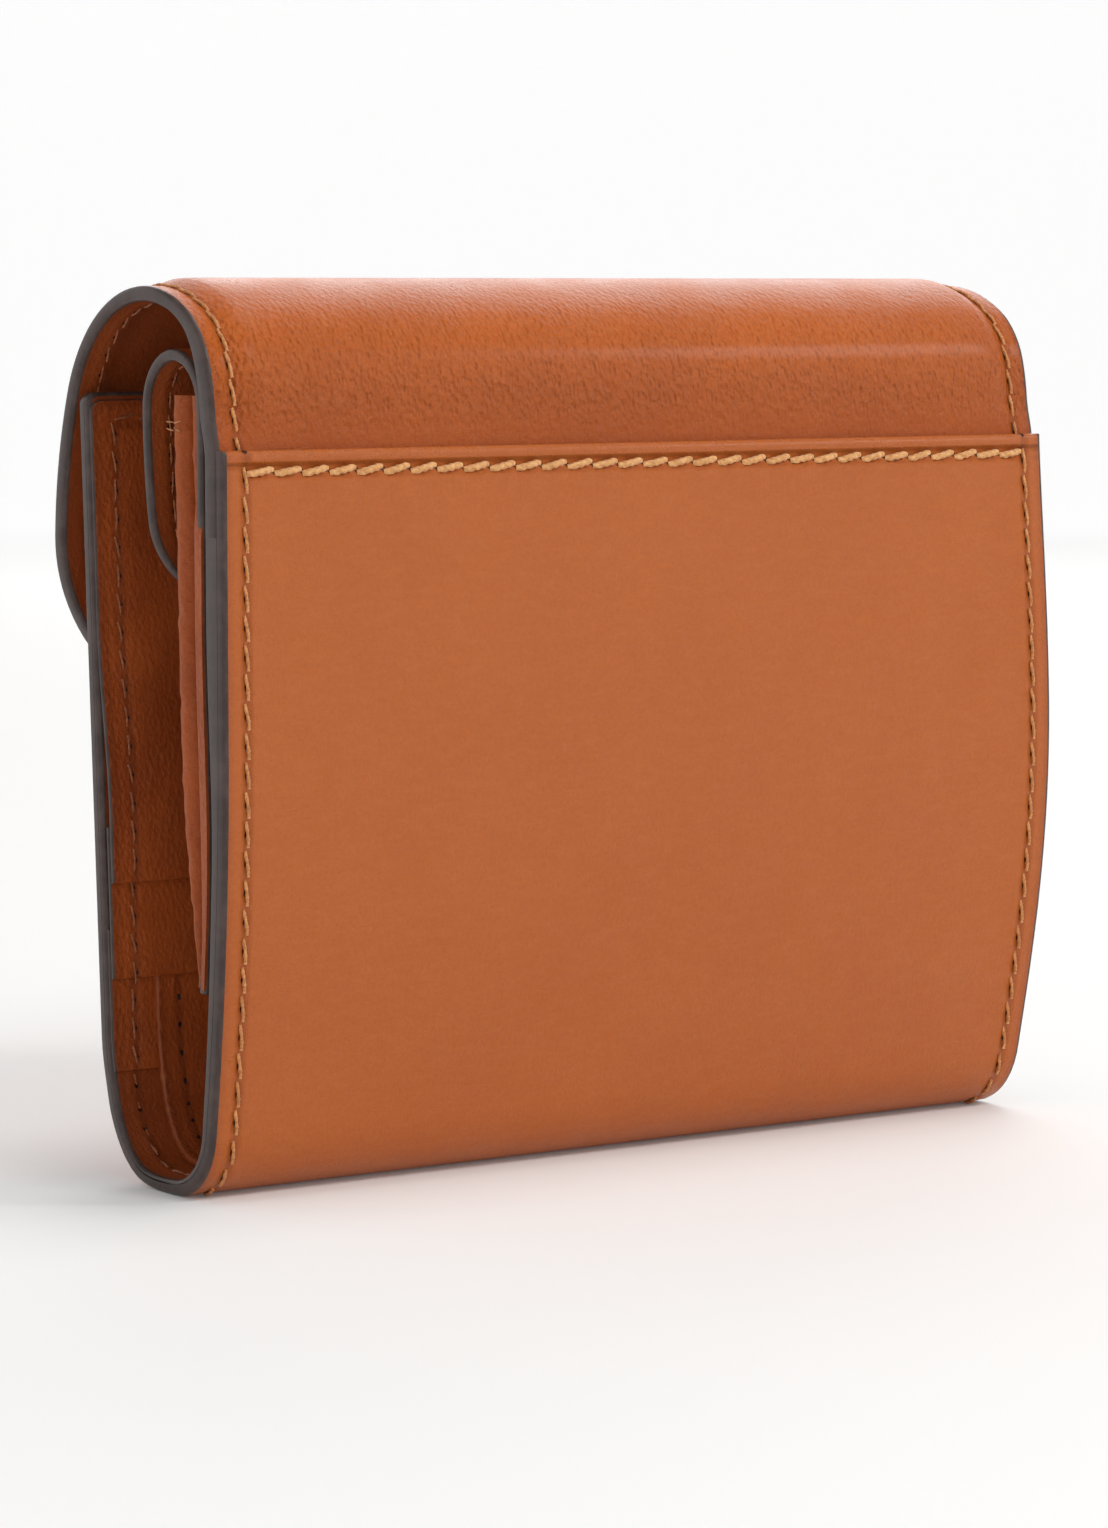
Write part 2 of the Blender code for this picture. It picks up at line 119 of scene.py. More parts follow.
def shellPath(w):
    # the cover's outer face from the front panel's top edge, round the bottom and over to the flap's tip
    radius, lean = w["backLean"]
    tilt = math.radians(lean)
    proud = w["proud"]
    straight = w["lip"] - radius * math.sin(tilt) - w["backBend"] * (1 - math.sin(tilt))
    turn = 90.0 - w["frontLean"]
    rise = w["frontBend"] * (1 - math.cos(math.radians(turn)))
    front = (w["frontTop"] - rise) / math.cos(math.radians(w["frontLean"]))
    down = ((0, straight), (radius - proud, lean), (w["backBend"] - proud, 90.0 - lean), (0, w["foot"]),
            (w["frontBend"] - proud, turn), (0, front))
    length = sum(abs(r * math.radians(a)) if r else a for r, a in down)
    face = w["depth"] / 2 - proud
    y, z, heading = Path(face, -w["lip"], 0.0, down).at(length)
    heights = []
    angle = 0.0
    for r, a in w["crown"]:
        top = min(90.0, angle + a)
        heights.append(r * (math.sin(math.radians(top)) - math.sin(math.radians(min(90.0, angle)))))
        angle += a
    rest = w["height"] - w["lip"] - sum(heights)
    chain = tuple(reversed(down)) + ((0, rest),) + w["crown"]
    return Path(y, -z, -math.degrees(heading), chain, start=-length), w["lip"] - straight


shell, leanTop = shellPath(wallet)
halfWidth = wallet["width"] / 2

pouch = {
    "face": wallet["depth"] / 2 - 4.6 - 0.3,
    "bottom": 22.0,
    "bend": 6.2,
    "bendHeight": 83.4,
    "mouth": 85.2,
    "drop": 21.5,
    "dropBend": 70.0,
    "belly": (300.0, -6.5),
}
pouchLean = math.asin((leanTop - pouch["bottom"]) / wallet["backLean"][0])
pouchFace = wallet["depth"] / 2 - wallet["proud"] - 3.2
pouchRadius = wallet["backLean"][0] - wallet["depth"] / 2 + pouchFace
pouchStart = pouchFace - pouchRadius * (1 - math.cos(pouchLean))
pouchLow = leanTop - pouchRadius * math.sin(pouchLean)
coin = Path(pouchStart, pouchLow, -math.degrees(pouchLean), (
    (pouchRadius, math.degrees(pouchLean)), (0, pouch["bendHeight"] - leanTop), (pouch["bend"], 180.0),
    (pouch["dropBend"], math.degrees(pouch["drop"] / pouch["dropBend"]))))
leaf = Path(pouchStart - 1.3, pouchLow, 8.0, (pouch["belly"], (0, pouch["mouth"] - pouchLow - 34.0)))

topCuts = [shell.atHeading((a + b) / 2) for a, b in wallet["topHinges"]]
bottomCuts = [shell.atHeading((a + b) / 2) for a, b in wallet["bottomHinges"]]
topMids = [(a + b) / 2 for a, b in zip(topCuts, topCuts[1:])]
bottomMids = [(a + b) / 2 for a, b in zip(bottomCuts, bottomCuts[1:])]
seam = -9.0  # the back and the crown meet here, under the pocket's mouth
regions = {  # stretch of the shell, the two bodies that it bends between, and where the bend starts and ends
    "front": (shell.start, bottomMids[2], "bottom_fold_3", "front",
              bottomMids[2], 2 * bottomCuts[3] - bottomMids[2]),
    "foot_3": (bottomMids[2], bottomMids[1], "bottom_fold_2", "bottom_fold_3", bottomMids[1], bottomMids[2]),
    "foot_2": (bottomMids[1], bottomMids[0], "bottom_fold_1", "bottom_fold_2", bottomMids[0], bottomMids[1]),
    "back": (bottomMids[0], seam, "back", "bottom_fold_1", 2 * bottomCuts[0] - bottomMids[0], bottomMids[0]),
    "crown_1": (seam, topMids[0], "back", "top_fold_1", 2 * topCuts[0] - topMids[0], topMids[0]),
    "crown_2": (topMids[0], topMids[1], "top_fold_1", "top_fold_2", topMids[0], topMids[1]),
    "crown_3": (topMids[1], topMids[2], "top_fold_2", "top_fold_3", topMids[1], topMids[2]),
    "flap": (topMids[2], shell.end, "top_fold_3", "flap", topMids[2], 2 * topCuts[3] - topMids[2]),
}


def bendWith(piece, path, region):
    _, _, first, second, start, end = region
    path.point(start)
    path.point(end)
    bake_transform(piece)


def mark(piece, slot, *nodes):
    # the material slot's name, which is not used, and the solids that the piece stands for, which are hidden
    if nodes:
        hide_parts(*nodes)


def newPiece(name, mesh, sharp=None):
    # an object with smooth shading, except at edges that bend more than sharp degrees
    mesh.shade_smooth()
    if sharp:
        mesh.set_sharp_from_angle(angle=math.radians(sharp))
    piece = bpy.data.objects.new(name, mesh)
    bpy.context.scene.collection.objects.link(piece)
    return piece


def fasten(piece, body, slot, *nodes):
    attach(piece, body)
    mark(piece, slot, *nodes)


def valueAt(value, s):
    return value(s) if callable(value) else value


def meshOf(name, bm, material):
    bmesh.ops.recalc_face_normals(bm, faces=bm.faces)
    mesh = bpy.data.meshes.new(name)
    bm.to_mesh(mesh)
    bm.free()
    mesh.materials.append(material)
    return mesh


print("stage 2: materials")


class Wire:
    # one socket of a node tree; + - * / on it add Math nodes
    def __init__(self, tree, socket=None):
        self.tree = tree
        self.socket = socket

    def make(self, kind, settings=None, inputs=None, output=0):
        node = self.tree.nodes.new(kind)
        for key, value in (settings or {}).items():
            setattr(node, key, value)
        for key, value in (inputs or {}).items():
            if isinstance(value, Wire):
                self.tree.links.new(value.socket, node.inputs[key])
            else:
                node.inputs[key].default_value = value
        return Wire(self.tree, node.outputs[output])

    def maths(self, operation, *values):
        return self.make("ShaderNodeMath", {"operation": operation}, dict(enumerate(values)))

    def __add__(self, other):
        return self.maths("ADD", self, other)

    def __radd__(self, other):
        return self.maths("ADD", other, self)

    def __sub__(self, other):
        return self.maths("SUBTRACT", self, other)

    def __rsub__(self, other):
        return self.maths("SUBTRACT", other, self)

    def __mul__(self, other):
        return self.maths("MULTIPLY", self, other)

    def __rmul__(self, other):
        return self.maths("MULTIPLY", other, self)

    def __truediv__(self, other):
        return self.maths("DIVIDE", self, other)

    def ramp(self, low, high):
        # 0 below low, 1 above high, smooth between
        return self.make("ShaderNodeMapRange", {"interpolation_type": "SMOOTHSTEP"},
                         {"Value": self, "From Min": low, "From Max": high})

    def bump(self, width):
        # 1 at zero, fading to 0 at width on both sides
        return 1 - self.maths("ABSOLUTE", self).ramp(0.0, width)

    def relief(self, strength, depth, height):
        return self.make("ShaderNodeBump", None, {
            "Strength": strength, "Distance": depth * mm, "Height": height})

    def mix(self, first, second):
        return self.make("ShaderNodeMix", {"data_type": "RGBA"}, {0: self, 6: first, 7: second}, output=2)


def newMaterial(name, constants):
    material = bpy.data.materials.new(name)
    material.use_nodes = True
    tree = material.node_tree
    shader = tree.nodes["Principled BSDF"]
    for key, value in constants.items():
        shader.inputs[key].default_value = value
    return material, Wire(tree), shader


def feed(wire, shader, links):
    for key, value in links.items():
        wire.tree.links.new(value.socket, shader.inputs[key])


def uvPlace(wire, layer):
    # millimetres across and along the sheet, from the map of that name
    place = wire.make("ShaderNodeUVMap", {"uv_map": layer})
    scaled = wire.make("ShaderNodeVectorMath", {"operation": "SCALE"}, {0: place, "Scale": 100.0})
    split = wire.tree.nodes.new("ShaderNodeSeparateXYZ")
    wire.tree.links.new(scaled.socket, split.inputs[0])
    return scaled, Wire(wire.tree, split.outputs[0]), Wire(wire.tree, split.outputs[1])


def noise(wire, vector, scale, detail=2.0, rough=0.5, stretch=None):
    if stretch:
        vector = wire.make("ShaderNodeVectorMath", {"operation": "MULTIPLY"}, {0: vector, 1: stretch})
    return wire.make("ShaderNodeTexNoise", None,
                     {"Vector": vector, "Scale": scale, "Detail": detail, "Roughness": rough})


stitchGap = 3.06
stitchInset = 2.75
lipInset = 2.2
lipGap = 3.36


def rgba(red, green, blue):
    return (red, green, blue, 1.0)


def leatherMaterial(name, look):
    material, wire, shader = newMaterial(name, {
        "Coat Weight": look["coat"], "Coat Roughness": 0.16, "Specular IOR Level": look["spec"]})
    skin, across, along = uvPlace(wire, "skin")
    _, inset, run = uvPlace(wire, "seam")
    cloud = noise(wire, skin, 0.055, 3.0, 0.55).ramp(0.3, 0.7)
    speck = noise(wire, skin, 2.2, 2.0, 0.6).ramp(0.35, 0.75)
    fibre = noise(wire, skin, 0.9, 3.0, 0.65, stretch=(0.4, 1.0, 1.0)).ramp(0.4, 0.75)
    tone = cloud.mix(look["dark"], look["light"])
    tone = (speck * look["speckle"]).mix(tone, look["deep"])
    tone = (fibre * look["speckle"] * 0.6).mix(tone, look["pale"])
    # the row of stitches: a dark hole between two stitches, painted as shade, and painted shade along the
    # groove beside them
    phase = run.maths("FRACT", run / stitchGap + 0.5) - 0.5
    hole = (inset - stitchInset) * (inset - stitchInset) * 1.3 + phase * phase * stitchGap * stitchGap
    holes = 1 - hole.maths("SQRT", hole).ramp(0.1, 0.38)
    rowGrooveAndShade = (inset - stitchInset).bump(0.9)
    nearEdge = 1 - inset.ramp(0.3, 1.6)
    # painted shade: darker along the groove that the stitches pull into the leather
    tone = (rowGrooveAndShade * look["groove"]).mix(tone, look["deep"])
    tone = (nearEdge * 0.35).mix(tone, look["deep"])
    rim = noise(wire, skin, 0.8, 3.0)
    scuff = (1 - inset.ramp(0.25, 0.75)) * rim.ramp(0.55, 0.7)
    tone = (scuff * 0.45).mix(tone, look["pale"])
    grainMask = wire.maths("ADD", 0.0, look["grainLow"])
    if look.get("lip"):
        mouth = along + lipInset
        lipPhase = across.maths("FRACT", across / lipGap) - 0.5
        skew = lipPhase * lipGap - mouth * 0.9
        lipHole = mouth * mouth * 0.45 + skew * skew * 1.6
        ends = across.maths("ABSOLUTE", across).ramp(51.8, 52.2)
        lipHoles = (1 - lipHole.maths("SQRT", lipHole).ramp(0.12, 0.46)) * (1 - ends)
        holes = holes.maths("MAXIMUM", holes, lipHoles)
        band = along.ramp(-1.7, -1.1)
        tone = (band * 0.06).mix(tone, look["deep"])
        # painted shade: darker in the groove under the mouth's stitches
        press = mouth.bump(1.1)
        tone = (press * 0.06).mix(tone, look["deep"])
        grainMask = grainMask * (1 - band * 0.7)
    if look.get("grainHigh"):
        low, peak, high = look["grainBand"]
        grainMask = grainMask + along.ramp(low, peak) * (1 - along.ramp(peak, high)) * look["grainHigh"]
        # painted shade: the cover is darker from the pocket's mouth up to 15 mm above it
        foot = 1 - along.ramp(0.4, 15.0)
        tone = (foot * 0.4).mix(tone, look["deep"])
    # painted shade: near black in each stitch hole
    tone = holes.mix(tone, rgba(0.03, 0.008, 0.004))
    pressed = wire.make("ShaderNodeVectorMath", {"operation": "MULTIPLY"}, {0: skin, 1: (1.0, 0.62, 1.0)})
    pebble = wire.make("ShaderNodeTexVoronoi", {"feature": "SMOOTH_F1"}, {
        "Vector": pressed, "Scale": look["grainScale"], "Smoothness": 0.6})
    crease = noise(wire, skin, look["grainScale"] * 0.9, 4.0, 0.6, stretch=(1.2, 0.7, 1.0))
    height = pebble * 0.7 + crease * 0.55
    fine = noise(wire, skin, 5.0, 3.0, 0.65)
    relief = height * grainMask + fine * look["pore"] - holes * 1.6 - rowGrooveAndShade * 0.25
    if look.get("lip"):
        relief = relief - press * 0.6 + band * 0.5
    normal = wire.relief(1.0, look["bump"], relief)
    patch = noise(wire, skin, 0.12, 3.0)
    rough = patch.ramp(0.3, 0.7) * 0.1 + look["rough"] - 0.05 + speck * 0.06
    if look.get("lip"):
        rough = rough - band * 0.14
    feed(wire, shader, {"Base Color": tone, "Roughness": rough, "Normal": normal})
    return material


coverLook = {
    "spec": 0.28, "rough": 0.31, "coat": 0.06, "speckle": 0.22, "groove": 0.4, "grainLow": 0.22,
    "grainHigh": 1.0, "grainBand": (0.0, 6.0, 24.0), "grainScale": 2.0, "pore": 0.25, "bump": 0.8,
    "light": rgba(0.57, 0.118, 0.006), "dark": rgba(0.50, 0.10, 0.005),
    "deep": rgba(0.20, 0.036, 0.006), "pale": rgba(0.60, 0.21, 0.06)}
pocketLook = dict(coverLook, lip=True, grainHigh=0.0, grainLow=0.1, speckle=0.14, pore=0.2, rough=0.38,
                  spec=0.3, coat=0.1, light=rgba(0.445, 0.105, 0.012), dark=rgba(0.43, 0.099, 0.011))
innerLook = dict(coverLook, spec=0.22, grainHigh=0.0, grainLow=0.6, grainScale=2.2, bump=0.24, rough=0.38,
                 coat=0.12, speckle=0.16, light=rgba(0.43, 0.092, 0.017), dark=rgba(0.30, 0.06, 0.012),
                 deep=rgba(0.09, 0.017, 0.005), pale=rgba(0.40, 0.12, 0.04))
liningLook = dict(innerLook, grainLow=0.35, rough=0.5, coat=0.05, light=rgba(0.34, 0.072, 0.014),
                  dark=rgba(0.26, 0.052, 0.011))
gussetLook = dict(innerLook, grainScale=1.5, bump=0.4, rough=0.4, spec=0.15, light=rgba(0.40, 0.085, 0.016),
                  dark=rgba(0.30, 0.06, 0.011))
coverLeather = leatherMaterial("cover_leather", coverLook)
pocketLeather = leatherMaterial("pocket_leather", pocketLook)
innerLeather = leatherMaterial("inner_leather", innerLook)
liningLeather = leatherMaterial("lining_leather", liningLook)
gussetLeather = leatherMaterial("gusset_leather", gussetLook)


def paintMaterial():
    material, wire, shader = newMaterial("edge_paint", {
        "Coat Weight": 0.08, "Coat Roughness": 0.2, "Specular IOR Level": 0.22})
    skin = uvPlace(wire, "skin")[0]
    place = wire.make("ShaderNodeTexCoord", None, None, output=3)
    streak = noise(wire, skin, 0.35, 3.0, 0.6, stretch=(3.0, 1.0, 1.0))
    lump = noise(wire, place, 420.0, 2.0, 0.5)
    tone = streak.ramp(0.35, 0.7).mix(rgba(0.046, 0.03, 0.026), rgba(0.076, 0.052, 0.046))
    worn = noise(wire, place, 900.0, 3.0, 0.6).ramp(0.68, 0.76)
    tone = (worn * 0.3).mix(tone, rgba(0.16, 0.10, 0.075))
    relief = lump + streak * 0.7
    normal = wire.relief(0.7, 0.1, relief)
    rough = streak.ramp(0.3, 0.7) * 0.14 + 0.3
    feed(wire, shader, {"Base Color": tone, "Roughness": rough, "Normal": normal})
    return material


def threadMaterial(name, light, dark):
    material, wire, shader = newMaterial(name, {
        "Roughness": 0.55, "Sheen Weight": 0.25, "Sheen Roughness": 0.4, "Specular IOR Level": 0.35})
    place = wire.make("ShaderNodeTexCoord", None, None, output=3)
    fuzz = noise(wire, place, 2600.0, 3.0, 0.7)
    dirt = noise(wire, place, 260.0, 2.0, 0.5)
    tone = fuzz.ramp(0.35, 0.65).mix(dark, light)
    tone = (dirt.ramp(0.52, 0.66) * 0.4).mix(tone, dark)
    normal = wire.relief(0.8, 0.06, fuzz)
    feed(wire, shader, {"Base Color": tone, "Normal": normal})
    return material


def metalMaterial():
    material, wire, shader = newMaterial("snap_metal", {"Metallic": 1.0})
    place = wire.make("ShaderNodeTexCoord", None, None, output=3)
    tarnish = noise(wire, place, 380.0, 4.0, 0.6).ramp(0.35, 0.7)
    scratch = noise(wire, place, 1500.0, 2.0, 0.6, stretch=(1.0, 0.15, 1.0))
    tone = tarnish.mix(rgba(0.40, 0.29, 0.15), rgba(0.62, 0.49, 0.29))
    rough = tarnish * -0.16 + 0.42 + scratch * 0.08
    normal = wire.relief(0.25, 0.04, scratch)
    feed(wire, shader, {"Base Color": tone, "Roughness": rough, "Normal": normal})
    return material


edgePaint = paintMaterial()
sideThread = threadMaterial("side_thread", rgba(0.70, 0.31, 0.10), rgba(0.46, 0.16, 0.04))
# painted shade: the thread inside the wallet is the side thread made darker
innerShadedThread = threadMaterial("inner_thread_shaded", rgba(0.42, 0.13, 0.035), rgba(0.22, 0.055, 0.014))
lipThread = threadMaterial("lip_thread", rgba(0.80, 0.43, 0.175), rgba(0.56, 0.25, 0.08))
snapMetal = metalMaterial()

print("stage 3: leather sheets")

fineColumns = [0.0, 0.05, 0.16, 0.32, 0.52, 0.8, 1.3, 1.8, 2.2, 2.5, 2.75, 3.0, 3.3, 3.7, 4.3, 5.2, 6.4, 8.0,
               10.0, 13.0]
fineRows = [0.0, 0.05, 0.16, 0.32, 0.52, 0.8, 1.2, 1.7, 2.2, 2.75, 3.4, 4.3]


def smooth(value, low, high):
    t = np.clip((value - low) / (high - low), 0.0, 1.0)
    return t * t * (3 - 2 * t)


def insetOf(x, s, half, s0, s1, corners):
    # distance to the sheet's outline, and length along the row of stitches that follows it
    side = half - np.abs(x)
    inset = side.copy()
    run = s.copy()
    for corner, distance, sign, edge in ((corners[0], s - s0, -1, s0), (corners[1], s1 - s, 1, s1)):
        if not corner:
            continue
        bent = (side < corner) & (distance < corner)
        round_ = corner - np.hypot(corner - side, corner - distance)
        inset = np.minimum(inset, np.where(bent, round_, np.minimum(side, distance)))
        row = max(0.5, corner - stitchInset)
        angle = np.arctan2(np.maximum(0, corner - distance), np.maximum(1e-6, corner - side))
        begin = edge - sign * corner
        run = np.where(bent, begin + sign * row * angle, run)
        past = (side >= corner) & (distance < corner)
        run = np.where(past, begin + sign * (row * math.pi / 2 + side - corner), run)
    return inset, run


def outlineHalf(s, half, s0, s1, corners):
    # half the sheet's width at s
    width = half
    for distance, corner in ((s - s0, corners[0]), (s1 - s, corners[1])):
        if corner and distance < corner:
            width = min(width, half - corner + math.sqrt(max(0.0, corner ** 2 - (corner - distance) ** 2)))
    return width


def rowsBetween(s0, s1, ends, corners, spacing):
    rows = set(np.linspace(s0, s1, max(3, int((s1 - s0) / spacing))))
    for end, sign, kind, corner in ((s0, 1, ends[0], corners[0]), (s1, -1, ends[1], corners[1])):
        near = fineRows if kind == "free" else (0.0, 0.08, 0.25, 0.6)
        rows |= {end + sign * d for d in near if d < (s1 - s0) / 2}
        if corner:
            rows |= {end + sign * corner * (1 - math.cos(math.radians(a))) for a in range(0, 90, 6)}
    ordered = []
    for s in sorted(rows):
        if not ordered or s - ordered[-1] > 0.045:
            ordered.append(s)
    ordered[-1] = s1
    return ordered


def sheetMesh(name, path, s0, s1, outer, inner, half, materials, ends=("cut", "cut"), corners=(0, 0),
              rims=(0.5, 0.5), relief=None, spacing=1.1, wrap=0.3, rolled=False):
    # a closed sheet of leather along a path, with rounded rims; materials are outer face, inner face and edge
    rows = rowsBetween(s0, s1, ends, corners, spacing)
    sides = [d for d in fineColumns if d < half * 0.4]
    middle = list(np.linspace(0, half - sides[-1], 14)[1:-1])
    verts, skins, seams = [], [], []
    counts = 2 * (len(sides) + len(middle)) + 1
    grids = []
    for face in (0, 1):
        grid = []
        for s in rows:
            width = outlineHalf(s, half, s0, s1, corners)
            scale = width / half
            reach = [width - d * scale for d in sides]
            inside = [width - sides[-1] * scale - m * scale for m in middle]
            right = reach + inside
            xs = np.array([-x for x in right] + [0.0] + list(reversed(right)))
            ss = np.full(counts, float(s))
            inset, run = insetOf(xs, ss, half, s0, s1, corners)
            side = np.maximum(inset, 0.0)
            for end, kind, corner in ((s0, ends[0], corners[0]), (s1, ends[1], corners[1])):
                if kind == "free" and not corner:
                    inset = np.minimum(inset, np.abs(s - end))
            inset = np.maximum(inset, 0.0)
            rim = rims[face]
            drop = rim * (1 - np.sqrt(np.maximum(0.0, 1 - (1 - np.minimum(inset, rim) / rim) ** 2)))
            level = valueAt((outer, inner)[face], s)
            sign = 1 if face == 0 else -1
            n = np.full(counts, float(level)) - sign * drop * 0.9
            if relief:
                n = n + relief(xs, ss, side)
            line = []
            for i in range(counts):
                y, z, _ = path.at(s, float(n[i]))
                line.append(len(verts))
                verts.append((xs[i] * mm, y * mm, z * mm))
                skins.append((xs[i] / 100.0, s / 100.0))
                seams.append((min(float(side[i]), 40.0) / 100.0, float(run[i]) / 100.0))
            grid.append((line, side if rolled else inset))
        grids.append(grid)
    faces, kinds = [], []
    for face, grid in enumerate(grids):
        for (low, lowInset), (high, highInset) in zip(grid, grid[1:]):
            for i in range(counts - 1):
                quad = (low[i], low[i + 1], high[i + 1], high[i])
                faces.append(quad if face == 0 else tuple(reversed(quad)))
                depth = (lowInset[i] + lowInset[i + 1] + highInset[i] + highInset[i + 1]) / 4
                kinds.append(2 if depth < wrap else face)
    top, under = grids
    for (lowA, _), (highA, _), (lowB, _), (highB, _) in zip(top, top[1:], under, under[1:]):
        for i in (0, counts - 1):
            faces.append((lowA[i], highA[i], highB[i], lowB[i]))
            kinds.append(2)
    for j in (0, len(rows) - 1):
        a, b = top[j][0], under[j][0]
        for i in range(counts - 1):
            faces.append((a[i], a[i + 1], b[i + 1], b[i]))
            kinds.append(0 if rolled else 2)
    mesh = bpy.data.meshes.new(name)
    mesh.from_pydata(verts, [], faces)
    for layer, values in (("skin", skins), ("seam", seams)):
        uv = mesh.uv_layers.new(name=layer)
        flat = np.array([values[loop.vertex_index] for loop in mesh.loops], np.float32)
        uv.data.foreach_set("uv", flat.ravel())
    for material in materials:
        mesh.materials.append(material)
    mesh.polygons.foreach_set("material_index", kinds)
    bm = bmesh.new()
    bm.from_mesh(mesh)
    bmesh.ops.recalc_face_normals(bm, faces=bm.faces)
    bm.to_mesh(mesh)
    bm.free()
    return newPiece(name, mesh, sharp=55)


# how the filled wallet swells, in millimetres
relax = {"sag": 1.45, "bulge": 2.3, "slack": 0.35, "puff": 0.85, "pinch": 0.1}


sagStart, sagEnd = shell.atHeading(-176.0) - 7.0, shell.atHeading(-90.0) + 3.0


def foldSag(s):
    # the bottom fold is rounder towards the front, where the leather isn't pressed flat
    t = np.clip((s - sagStart) / (sagEnd - sagStart), 0.0, 1.0)
    return -relax["sag"] * np.sin(math.pi * t) ** 2


def backSwell(x, s, side=None):
    # the back stands out towards its left side, between the mouth of the pocket and the bottom fold
    t = np.clip((s + 74.0) / 74.0, 0.0, 1.0)
    return relax["bulge"] * (0.5 - x / wallet["width"]) * np.sin(math.pi * t) ** 1.2 + foldSag(s)


def pinchAt(s, side):
    # each stitch pulls the leather down beside its hole
    beat = 0.5 - 0.5 * np.cos(2 * math.pi * s / stitchGap)
    return -relax["pinch"] * np.exp(-((side - stitchInset) / 0.5) ** 2) * (0.65 + 0.35 * beat)


def coverRelief(x, s, side):
    puff = relax["puff"] * (smooth(side, stitchInset, 5.6) - 1) * smooth(s, -1.0, 4.0)
    return puff + pinchAt(s, side) + backSwell(x, s)


def pocketRelief(x, s, side):
    drop = np.sin(math.pi * np.clip((s + 80) / 80, 0, 1))
    slack = relax["slack"] * np.clip(1 - (x / halfWidth) ** 2, 0, 1) * drop
    groove = -0.2 * np.exp(-((s + lipInset) / 0.6) ** 2) * smooth(side, 2.4, 3.2)
    rib = 0.2 * np.exp(-((s + 0.75) / 0.6) ** 2) * smooth(side, 2.4, 3.2)
    return slack + groove + rib + pinchAt(s, side) + backSwell(x, s)


def frontRelief(x, s, side):
    return pinchAt(s, side) + foldSag(s)


def insideRelief(x, s, side):
    return foldSag(s)


def stepped(points):
    # smooth steps between (place, value) pairs
    def read(s):
        for (a, va), (b, vb) in zip(points, points[1:]):
            if s <= b:
                t = max(0.0, (s - a) / (b - a))
                return va + (vb - va) * t * t * (3 - 2 * t)
        return points[-1][1]
    return read


# how far the lining's face lies inside the cover: the leather is skived thin where it folds
bottomMid = (bottomCuts[1] + bottomCuts[2]) / 2
innerLevel = stepped((
    (shell.atHeight(14.0, shell.start, bottomCuts[3]), -0.85), (bottomMid, -0.35),
    (shell.atHeight(10.0, bottomCuts[0], -10.0), -1.2), (shell.atHeight(34.0, bottomCuts[0], -10.0), -1.5),
    (shell.atHeight(62.0, bottomCuts[0], -10.0), -2.6), (topCuts[0] - 2, -2.6), (topCuts[1], -1.65),
    (topCuts[2], -1.65), (topCuts[3] + 12, -2.15)))


edgeWrap = 0.48
frontCorner = 1.4
flapCorner = 23.0
divider = {"inset": 5.6, "thick": 0.75, "gap": 0.1, "back": 20.0, "front": 24.0}
coverSolids = {
    "front": ("front_board", "front_lining"),
    "foot_3": ("bottom_fold_lining_3",),
    "foot_2": ("bottom_fold_lining_2",),
    "back": ("back_board", "back_lining", "bottom_fold_lining_1"),
    "crown_1": ("back_cover", "top_fold_cover_1", "top_fold_lining_1"),
    "crown_2": ("top_fold_cover_2", "top_fold_lining_2"),
    "crown_3": ("top_fold_cover_3", "top_fold_lining_3"),
    "flap": ("flap_cover", "flap_board", "flap_lining"),
}
stripSolids = {
    "front": ("front_panel",), "foot_3": ("bottom_fold_outer_3",), "foot_2": ("bottom_fold_outer_2",),
    "back": ("back_pocket_panel", "bottom_fold_outer_1"),
}
dividerSolids = {
    "front": ("note_divider_front",), "foot_3": ("note_divider_3",), "foot_2": ("note_divider_2",),
    "back": ("note_divider_back", "note_divider_1"),
}


def endsOf(name, last):
    return "free" if name == "front" else "cut", "free" if name == last else "cut"


def isTop(name):
    return name.startswith("crown") or name == "flap"


for name, solids in coverSolids.items():
    s0, s1 = regions[name][:2]
    rims = (0.03, 0.6)
    if isTop(name):
        rims = (0.5 if name == "crown_1" else 0.55, 0.55)
    piece = sheetMesh(f"cover_{name}", shell, s0, s1, 0.0, innerLevel, halfWidth,
                      (coverLeather, liningLeather, edgePaint), ends=endsOf(name, "flap"), rims=rims,
                      corners={"front": (frontCorner, 0), "flap": (0, flapCorner)}.get(name, (0, 0)),
                      relief=coverRelief if isTop(name) or name == "back" else frontRelief, wrap=edgeWrap)
    bendWith(piece, shell, regions[name])
    mark(piece, "outer_leather", *solids)

for name, solids in stripSolids.items():
    s0, s1 = regions[name][0], 0.0 if name == "back" else regions[name][1]
    piece = sheetMesh(f"pocket_strip_{name}", shell, s0, s1, wallet["proud"], 0.03, halfWidth,
                      (pocketLeather, liningLeather, edgePaint), ends=endsOf(name, "back"),
                      corners=(frontCorner, 0) if name == "front" else (0, 0), rims=(0.55, 0.03),
                      relief=pocketRelief if name == "back" else frontRelief, wrap=edgeWrap,
                      rolled=name == "back")
    bendWith(piece, shell, regions[name])
    mark(piece, "outer_leather", *solids)

for name, solids in dividerSolids.items():
    s0, s1 = regions[name][:2]
    if name == "front":
        s0 = shell.atHeight(divider["front"], shell.start, bottomCuts[3])
    if name == "back":
        s1 = shell.atHeight(divider["back"], -80.0, -10.0)
    piece = sheetMesh(f"note_divider_sheet_{name}", shell, s0, s1, lambda s: innerLevel(s) - divider["gap"],
                      lambda s: innerLevel(s) - divider["gap"] - divider["thick"],
                      halfWidth - divider["inset"], (innerLeather,) * 3, ends=endsOf(name, "back"),
                      rims=(0.1, 0.35), relief=insideRelief, wrap=0.0)
    bendWith(piece, shell, regions[name])
    mark(piece, "lining_leather", *solids)

print("stage 4: card slots and coin pouch")

slots = {"thick": 0.5, "inset": 0.15}


def frontAt(z):
    return shell.atHeight(z, shell.start, bottomCuts[3])


